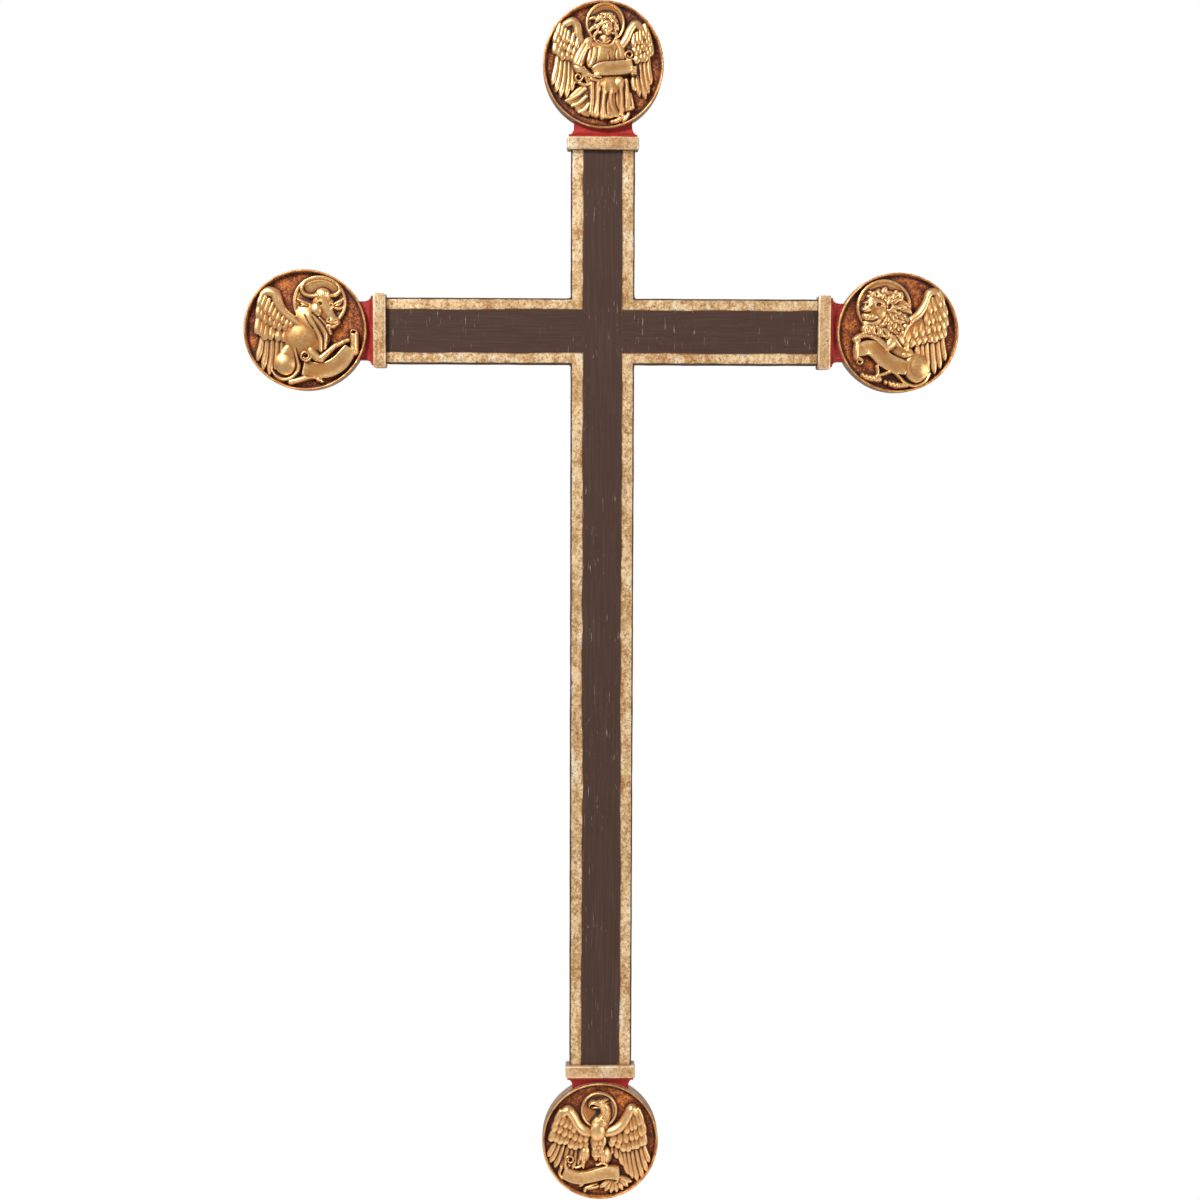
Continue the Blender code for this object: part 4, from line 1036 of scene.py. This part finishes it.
BEHIND, IN_FRONT = 10 * MM, -40 * MM    # how far the cutters reach, past the back and the front
FILLET = 1.2 * MM
BEAM_GRID = 4 * MM
BEAM_EDGE = 0.9 * MM
BEAM_WAVE, BEAM_WAVE_SIZE = 0.22 * MM, 17 * MM
SEAT_CLEAR = 0.3 * MM
POCKET_HALF_X, POCKET_HALF_Z, POCKET_DEPTH = 5.2 * MM, 9 * MM, 8.7 * MM
SCREW_CLEAR, SCREW_BELOW = 0.25 * MM, 0.2 * MM
SEAM_INSET, SEAM_HALF, SEAM_DEPTH = 2.5 * MM, 0.2 * MM, 0.5 * MM


def beams(look):
    """The cross in one gessoed skin with rounded edges, inner fillets and the cuts of its back."""
    up_low, up_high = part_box("upright")
    bar_low, bar_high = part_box("crossbar")
    half_x, half_z = up_high[0], bar_high[2]
    xs = split_range([bar_low[0], -half_x, half_x, bar_high[0]], BEAM_GRID)
    zs = split_range([up_low[2], -half_z, half_z, up_high[2]], BEAM_GRID)
    bm = bmesh.new()
    front = up_low[1]
    known = {}

    def vert(x, z):
        key = (round(x * 1e5), round(z * 1e5))
        if key not in known:
            known[key] = bm.verts.new((x, front, z))
        return known[key]

    for xa, xb in zip(xs, xs[1:]):
        for za, zb in zip(zs, zs[1:]):
            if abs(xa + xb) / 2 < half_x or abs(za + zb) / 2 < half_z:
                bm.faces.new([vert(*p) for p in ((xa, za), (xb, za), (xb, zb), (xa, zb))])
    for sx in (-1, 1):
        for sz in (-1, 1):
            bm.faces.new([vert(sx * half_x, sz * half_z),
                          bm.verts.new((sx * (half_x + FILLET), front, sz * half_z)),
                          bm.verts.new((sx * half_x, front, sz * (half_z + FILLET)))][::sx * sz])
    bmesh.ops.remove_doubles(bm, verts=bm.verts, dist=1e-7)
    made_faces = bmesh.ops.extrude_face_region(bm, geom=list(bm.faces))
    lifted = [g for g in made_faces["geom"] if isinstance(g, bmesh.types.BMVert)]
    bmesh.ops.translate(bm, verts=lifted, vec=(0, -front, 0))
    made = shape(bm, "painted_cross")
    bevel = made.modifiers.new("edges", "BEVEL")
    bevel.width, bevel.segments = BEAM_EDGE, 3
    bevel.limit_method, bevel.angle_limit = "ANGLE", radians(40)
    apply_steps(made)
    uneven(made, BEAM_WAVE, BEAM_WAVE_SIZE)
    plate_low, plate_high = (Vector(c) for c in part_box("hanger_plate"))
    clear = Vector((SEAT_CLEAR, SEAT_CLEAR, SEAT_CLEAR))
    cut(made, block(plate_low - clear, (plate_high.x + SEAT_CLEAR, BEHIND, plate_high.z + SEAT_CLEAR)))
    middle = (plate_low.z + plate_high.z) / 2
    cut(made, block((-POCKET_HALF_X, -POCKET_DEPTH, middle - POCKET_HALF_Z),
                    (POCKET_HALF_X, BEHIND, middle + POCKET_HALF_Z)))
    for name in ("lap_screw_1", "lap_screw_2"):
        low, high = (Vector(c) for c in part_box(name))
        wide = (high.x - low.x) / 2 + SCREW_CLEAR
        cut(made, oval((low + high) / 2, wide, wide, low.y - SCREW_BELOW, BEHIND, 32))
    inset = half_x - SEAM_INSET
    for seam in (-half_z, half_z):
        cut(made, block((-inset, -SEAM_DEPTH, seam - SEAM_HALF), (inset, BEHIND, seam + SEAM_HALF)))
    settle(made, look, "painted_wood", "upright", "crossbar")


PLATE_EDGE = 1.5 * MM
PLATE_LONG, PLATE_CUTS = 6 * MM, 9      # edges longer than this are cut so many times
PLATE_WAVE, PLATE_WAVE_SIZE = 0.28 * MM, 9 * MM
# width of the painted highlight on the front edges, and the depth in front of which it lies
PLATE_HIGHLIGHT, PLATE_HIGHLIGHT_FROM = 1.6 * MM, 12 * MM


def end_plate(name, look):
    """A square plate with soft, uneven edges; the ones in front are marked for a painted highlight."""
    low, high = (Vector(c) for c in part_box(name))
    made = block(low, high)
    made.name = made.data.name = f"gilded_{name}"
    bevel = made.modifiers.new("edges", "BEVEL")
    bevel.width, bevel.segments = PLATE_EDGE, 4
    apply_steps(made)
    bm = bmesh.new()
    bm.from_mesh(made.data)
    long_edges = [e for e in bm.edges if e.calc_length() > PLATE_LONG]
    bmesh.ops.subdivide_edges(bm, edges=long_edges, cuts=PLATE_CUTS, use_grid_fill=True)
    bm.to_mesh(made.data)
    bm.free()
    uneven(made, PLATE_WAVE, PLATE_WAVE_SIZE)
    edge = []
    for vert in made.data.vertices:
        gaps = sorted(min(vert.co[k] - low[k], high[k] - vert.co[k]) for k in range(3))
        edge.append(max(0.0, 1 - gaps[1] / PLATE_HIGHLIGHT) if vert.co.y < -PLATE_HIGHLIGHT_FROM else 0.0)
    mark(made, edge=edge)
    settle(made, look, "gilded_wood", name)


def oval(centre, half_x, half_z, low, high, sides=240):
    bm = bmesh.new()
    turns = [2 * pi * k / sides for k in range(sides)]
    rings = [[bm.verts.new((centre.x + half_x * cos(a), y, centre.z + half_z * sin(a))) for a in turns]
             for y in (low, high)]
    bm.faces.new(rings[0])
    bm.faces.new(rings[1])
    for k in range(sides):
        bm.faces.new((rings[0][k], rings[0][k - 1], rings[1][k - 1], rings[1][k]))
    return shape(bm)


# Neck sizes, in mm unless marked: a flat band by the plate, then a hollow down to the narrow part
NECK_WIDE, NECK_NARROW = 56.0, 47.5
NECK_FRONT_WIDE, NECK_FRONT_NARROW = 15.6, 12.4
NECK_BAND, NECK_HOLLOW = 1.4, 7.0
NECK_STEP = 0.93                        # share of the band's extra size left where the hollow starts
NECK_LONGEST = 26.0
NECK_SIDE_STEPS, NECK_FRONT_STEPS, NECK_HOLLOW_STEPS = 6, 20, 16
NECK_GAP = 0.1 * MM
NECK_WAVE, NECK_WAVE_SIZE = 0.25 * MM, 7 * MM


def neck(arm, direction, look):
    """A hollow moulding from the end plate to the medallion, cut to sit against its side."""
    side = Vector((-direction.z, 0, direction.x))
    plate_low, plate_high = (Vector(c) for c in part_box(f"{arm}_end_plate"))
    disc_low, disc_high = (Vector(c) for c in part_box(f"{arm}_medallion"))
    start = max(plate_low.dot(direction), plate_high.dot(direction)) + NECK_GAP
    centre, half = (disc_low + disc_high) / 2, (disc_high - disc_low) / 2
    length = centre.dot(direction) - start
    runs = [0, 0.5, 1.0, NECK_BAND, NECK_BAND + 0.05]
    runs += [NECK_BAND + NECK_HOLLOW * k / NECK_HOLLOW_STEPS for k in range(1, NECK_HOLLOW_STEPS + 1)]
    runs.append(min(length / MM * 0.8, NECK_LONGEST))
    bm = bmesh.new()
    rings = []
    for run in runs:
        turn = min(1.0, max(0.0, run - NECK_BAND) / NECK_HOLLOW)
        full = 1.0 if run <= NECK_BAND else (1 - (1 - (1 - turn) ** 2) ** 0.5) * NECK_STEP
        wide = (NECK_NARROW + (NECK_WIDE - NECK_NARROW) * full) / 2 * MM
        front = (NECK_FRONT_NARROW + (NECK_FRONT_WIDE - NECK_FRONT_NARROW) * full) * MM
        steps = range(1, NECK_SIDE_STEPS + 1)
        outline = [(-wide, 0), (wide, 0)] + [(wide, -front * k / NECK_SIDE_STEPS) for k in steps]
        outline += [(wide * (1 - 2 * k / NECK_FRONT_STEPS), -front) for k in range(1, NECK_FRONT_STEPS)]
        outline += [(-wide, -front * k / NECK_SIDE_STEPS) for k in reversed(steps)]
        spine = direction * (start + run * MM)
        rings.append([bm.verts.new(spine + side * offset + Vector((0, y, 0))) for offset, y in outline])
    bm.faces.new(rings[0])
    bm.faces.new(rings[-1])
    for near, far in zip(rings, rings[1:]):
        for k in range(len(near)):
            bm.faces.new((near[k - 1], near[k], far[k], far[k - 1]))
    made = shape(bm, f"red_{arm}_neck")
    uneven(made, NECK_WAVE, NECK_WAVE_SIZE)
    cut(made, oval(centre, half.x, half.z, IN_FRONT, BEHIND))
    hollow, rub = [], []
    most = 0.9 if direction.x else 0.35
    for vert in made.data.vertices:
        run = (vert.co.dot(direction) - start) / MM
        offset = abs(vert.co.dot(side)) / MM
        # hollow is painted shade: in the step past the band, and towards the disc, whose rim shades the neck
        shade_past_band = max(0.0, 1 - abs(run - NECK_BAND - 0.6) / 1.4)
        shadow_by_disc = max(0.0, min(1.0, (run - 5.0) / 6)) * 0.8
        hollow.append(shade_past_band + shadow_by_disc)
        rub.append(min(1.0, max(0.0, (run - 3) / 5)) * most * min(1.0, 0.45 + offset / 30))
    mark(made, hollow=hollow, rub=rub)
    settle(made, look, "red_paint", f"{arm}_neck")


# Medallion section from the back outwards and over the rim, in mm: inset from the outer edge, height
SECTION = [(6.0, 0.0), (0.9, 0.0), (0.3, 0.2), (0.0, 0.8), (0.0, 5.0), (0.0, 10.0), (0.0, 15.8), (0.12, 16.4),
           (0.4, 16.85), (0.8, 17.0), (1.2, 16.9), (1.5, 16.5), (1.65, 15.8), (1.8, 14.2), (2.0, 13.4),
           (2.6, 13.05)]
RIM_INSET, FLOOR = 2.6, 13.0
ROUND, FLOOR_RINGS = 260, 64
GRIT, FLOOR_WAVE, SIDE_WAVE = 0.16, 0.12, 0.10
RIM_SHADE, RIM_SHADE_WIDE = 0.8, 2.2


def medallion(arm, carving, look):
    """An oval turned disc with a rim and a stippled sunk ground, darker beside the carving (gathered glaze
    and painted shade) and the rim (painted shade).
    """
    low, high = (Vector(c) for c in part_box(f"{arm}_medallion"))
    centre, half = (low + high) / 2, (high - low) / 2
    mean = (half.x + half.z) / 2 / MM
    inward = [RIM_INSET + (mean - RIM_INSET) * k / FLOOR_RINGS for k in range(1, FLOOR_RINGS)]
    section = SECTION + [(inset, FLOOR) for inset in inward]
    # the ground darkens round the carving: gathered glaze and painted shade
    dull = np.clip(blur((carving.h > 0.3).astype(float), 5) * 1.5, 0, 1)
    cells = len(dull)
    rng = np.random.default_rng(11)
    verts = [(centre.x, 0.0, centre.z)]
    marks = [(0.0, 0.0, 1.0)]           # recess, rim, side
    for index, (inset, height) in enumerate(section):
        on_floor = index >= len(SECTION) - 1
        share = inset / mean
        for k in range(ROUND):
            a = 2 * pi * (k + 0.5 * (index % 2) * on_floor) / ROUND
            x = centre.x + cos(a) * (half.x * (1 - share) if on_floor else half.x - inset * MM)
            z = centre.z + sin(a) * (half.z * (1 - share) if on_floor else half.z - inset * MM)
            bump = shade = 0.0
            if on_floor:
                bump = GRIT * rng.random() + FLOOR_WAVE * noise.noise(Vector((x, 0, z)) / (2.2 * MM))
                col = int((x - centre.x) / half.x * 0.5 * cells + cells / 2)
                row = int((z - centre.z) / half.z * 0.5 * cells + cells / 2)
                shade = dull[min(max(row, 0), cells - 1), min(max(col, 0), cells - 1)]
                # painted shade on the ground just inside the rim
                shade = min(1.0, shade + RIM_SHADE * max(0.0, 1 - (inset - RIM_INSET) / RIM_SHADE_WIDE))
            elif index > 2:
                bump = SIDE_WAVE * noise.noise(Vector((x, height * MM, z)) / (6 * MM))
            verts.append((x, -(height + bump) * MM if index > 1 else 0.0, z))
            marks.append((shade, 1.0 if not on_floor and height > 15 else 0.0,
                          1.0 if inset < 0.1 or height < 1 else (0.5 if inset < 0.2 else 0.0)))
    verts.append((centre.x, -FLOOR * MM, centre.z))
    marks.append((0.0, 0.0, 0.0))
    faces = []
    for ring in range(len(section) - 1):
        a, b = 1 + ring * ROUND, 1 + (ring + 1) * ROUND
        for k in range(ROUND):
            n = (k + 1) % ROUND
            faces.append((a + k, b + k, b + n, a + n))
    last, tip = 1 + (len(section) - 1) * ROUND, len(verts) - 1
    for k in range(ROUND):
        n = (k + 1) % ROUND
        faces += [(0, 1 + k, 1 + n), (tip, last + n, last + k)]
    made = from_points(f"turned_{arm}_medallion", verts, faces)
    recess, rim, side = zip(*marks)
    mark(made, recess=recess, rim=rim, side=side)
    settle(made, look, "glazed_wood", f"{arm}_medallion", angle=60)


EDGE = 0.18                             # carving lower than this, in mm, is left out
SKIRT = -0.3                            # the outer row goes this far into the ground


def relief(arm, figure, carving, look):
    """The carving as a fine mesh: the raised part of the height field with a skirt into the ground."""
    low, high = (Vector(c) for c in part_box(f"{arm}_medallion"))
    centre, half = (low + high) / 2, (high - low) / 2
    raised = carving.h > EDGE
    cell = raised[:-1, :-1] | raised[1:, :-1] | raised[:-1, 1:] | raised[1:, 1:]
    used = np.zeros(raised.shape, bool)
    for r, c in ((0, 0), (1, 0), (0, 1), (1, 1)):
        used[r:used.shape[0] - 1 + r, c:used.shape[1] - 1 + c] |= cell
    number = np.full(raised.shape, -1)
    number[used] = np.arange(used.sum())
    height = np.where(raised, carving.h, SKIRT)
    x = centre.x + carving.u / 100 * half.x
    z = centre.z + carving.v / 100 * half.z
    y = -(FLOOR + height) * MM
    verts = np.stack([x[used], y[used], z[used]], axis=1)
    around = (number[:-1, :-1], number[:-1, 1:], number[1:, 1:], number[1:, :-1])
    corners = np.stack([part[cell] for part in around], axis=1)
    made = from_points(f"carved_{figure}", verts.tolist(), corners.tolist())
    mark(made, recess=carving.recess[used])
    settle(made, look, "bright_gilding", f"{figure}_relief", angle=180)


# ---------------------------------------------------------------- studio

# name: place, aim, disc size, power
LIGHTS = {"key_light": ((-1.6, -1.5, 1.6), (0, 0, -0.1), 0.7, 94),
          "fill_light": ((1.9, -1.3, -0.3), (0, 0, -0.2), 1.0, 23),
          "back_light": ((0.8, 2.4, 1.4), (0, 0, -0.2), 1.6, 40)}
SURROUND, SURROUND_LIGHT = (1.0, 0.97, 0.93, 1.0), 0.29
FLOOR_Z, FLOOR_HALF = -1.15, 0.95       # below what the camera sees


def studio():
    """Pale floor, soft light from the upper left, weaker light from the right and behind, white surround."""
    world = bpy.data.worlds.new("studio")
    bpy.context.scene.world = world
    world.use_nodes = True
    tree = world.node_tree
    fill = tree.nodes["Background"]
    fill.inputs["Color"].default_value = SURROUND
    fill.inputs["Strength"].default_value = SURROUND_LIGHT
    seen = tree.nodes.new("ShaderNodeBackground")
    seen.inputs["Color"].default_value = (1.0, 1.0, 1.0, 1.0)
    seen.inputs["Strength"].default_value = 1.0
    path = tree.nodes.new("ShaderNodeLightPath")
    both = tree.nodes.new("ShaderNodeMixShader")
    tree.links.new(path.outputs["Is Camera Ray"], both.inputs["Fac"])
    tree.links.new(fill.outputs["Background"], both.inputs[1])
    tree.links.new(seen.outputs["Background"], both.inputs[2])
    tree.links.new(both.outputs["Shader"], tree.nodes["World Output"].inputs["Surface"])
    bpy.context.scene.view_settings.view_transform = "Standard"
    for name, (place, aim, size, power) in LIGHTS.items():
        data = bpy.data.lights.new(name, "AREA")
        data.shape, data.size, data.energy = "DISK", size, power
        light = link(name, data)
        light.location = place
        light.rotation_mode = "QUATERNION"
        light.rotation_quaternion = (Vector(aim) - Vector(place)).to_track_quat("-Z", "Y")
    bm = bmesh.new()
    level = Matrix.Translation((0, 0, FLOOR_Z))
    bmesh.ops.create_grid(bm, x_segments=8, y_segments=8, size=FLOOR_HALF, matrix=level)
    floor = shape(bm, "studio_floor")
    s = Shader("pale_floor")
    floor.data.materials.append(s.finish(s.mix(s.noise(400, 2, 0.5), *FLOOR_WHITE), 0.9, 0.0))


LENS = 54.0
CAMERA_AWAY = 1.5078
CAMERA_X, CAMERA_Z = -0.0011, -0.1088
CAMERA_PITCH, CAMERA_ROLL = radians(4.32), radians(0.17)
CAMERA_YAW = radians(1.3)               # stands a little to the left of the cross


def camera():
    """In front of the cross and above its middle, turned slightly down towards it."""
    data = bpy.data.cameras.new("camera")
    data.lens = LENS
    made = link("camera", data)
    turn = Quaternion((0, 0, 1), -CAMERA_YAW)
    made.location = turn @ Vector((CAMERA_X, -CAMERA_AWAY, CAMERA_Z))
    made.rotation_mode = "QUATERNION"
    level = Quaternion((1, 0, 0), pi / 2 - CAMERA_PITCH)
    made.rotation_quaternion = turn @ level @ Quaternion((0, 0, 1), CAMERA_ROLL)
    bpy.context.scene.camera = made


# ---------------------------------------------------------------- assembly

ARMS = {"top": (Vector((0, 0, 1)), "angel"), "bottom": (Vector((0, 0, -1)), "eagle"),
        "left": (Vector((-1, 0, 0)), "ox"), "right": (Vector((1, 0, 0)), "lion")}


def build():
    beams(painted_beams())
    plate_look, neck_look = gilded_plate(), red_paint()
    disc_look, relief_look = medallion_paint(), carved_gold()
    for arm, (direction, figure) in ARMS.items():
        carving = carve(figure)
        end_plate(f"{arm}_end_plate", plate_look)
        neck(arm, direction, neck_look)
        medallion(arm, carving, disc_look)
        relief(arm, figure, carving, relief_look)
    steel, wood = zinc(), beech()
    for name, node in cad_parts.items():
        if "screw" in name or "hanger" in name:
            look = steel
        elif "dowel" in name:
            look = wood
        else:
            continue
        for slot in node.material_slots:
            slot.material = look


build()
studio()
camera()
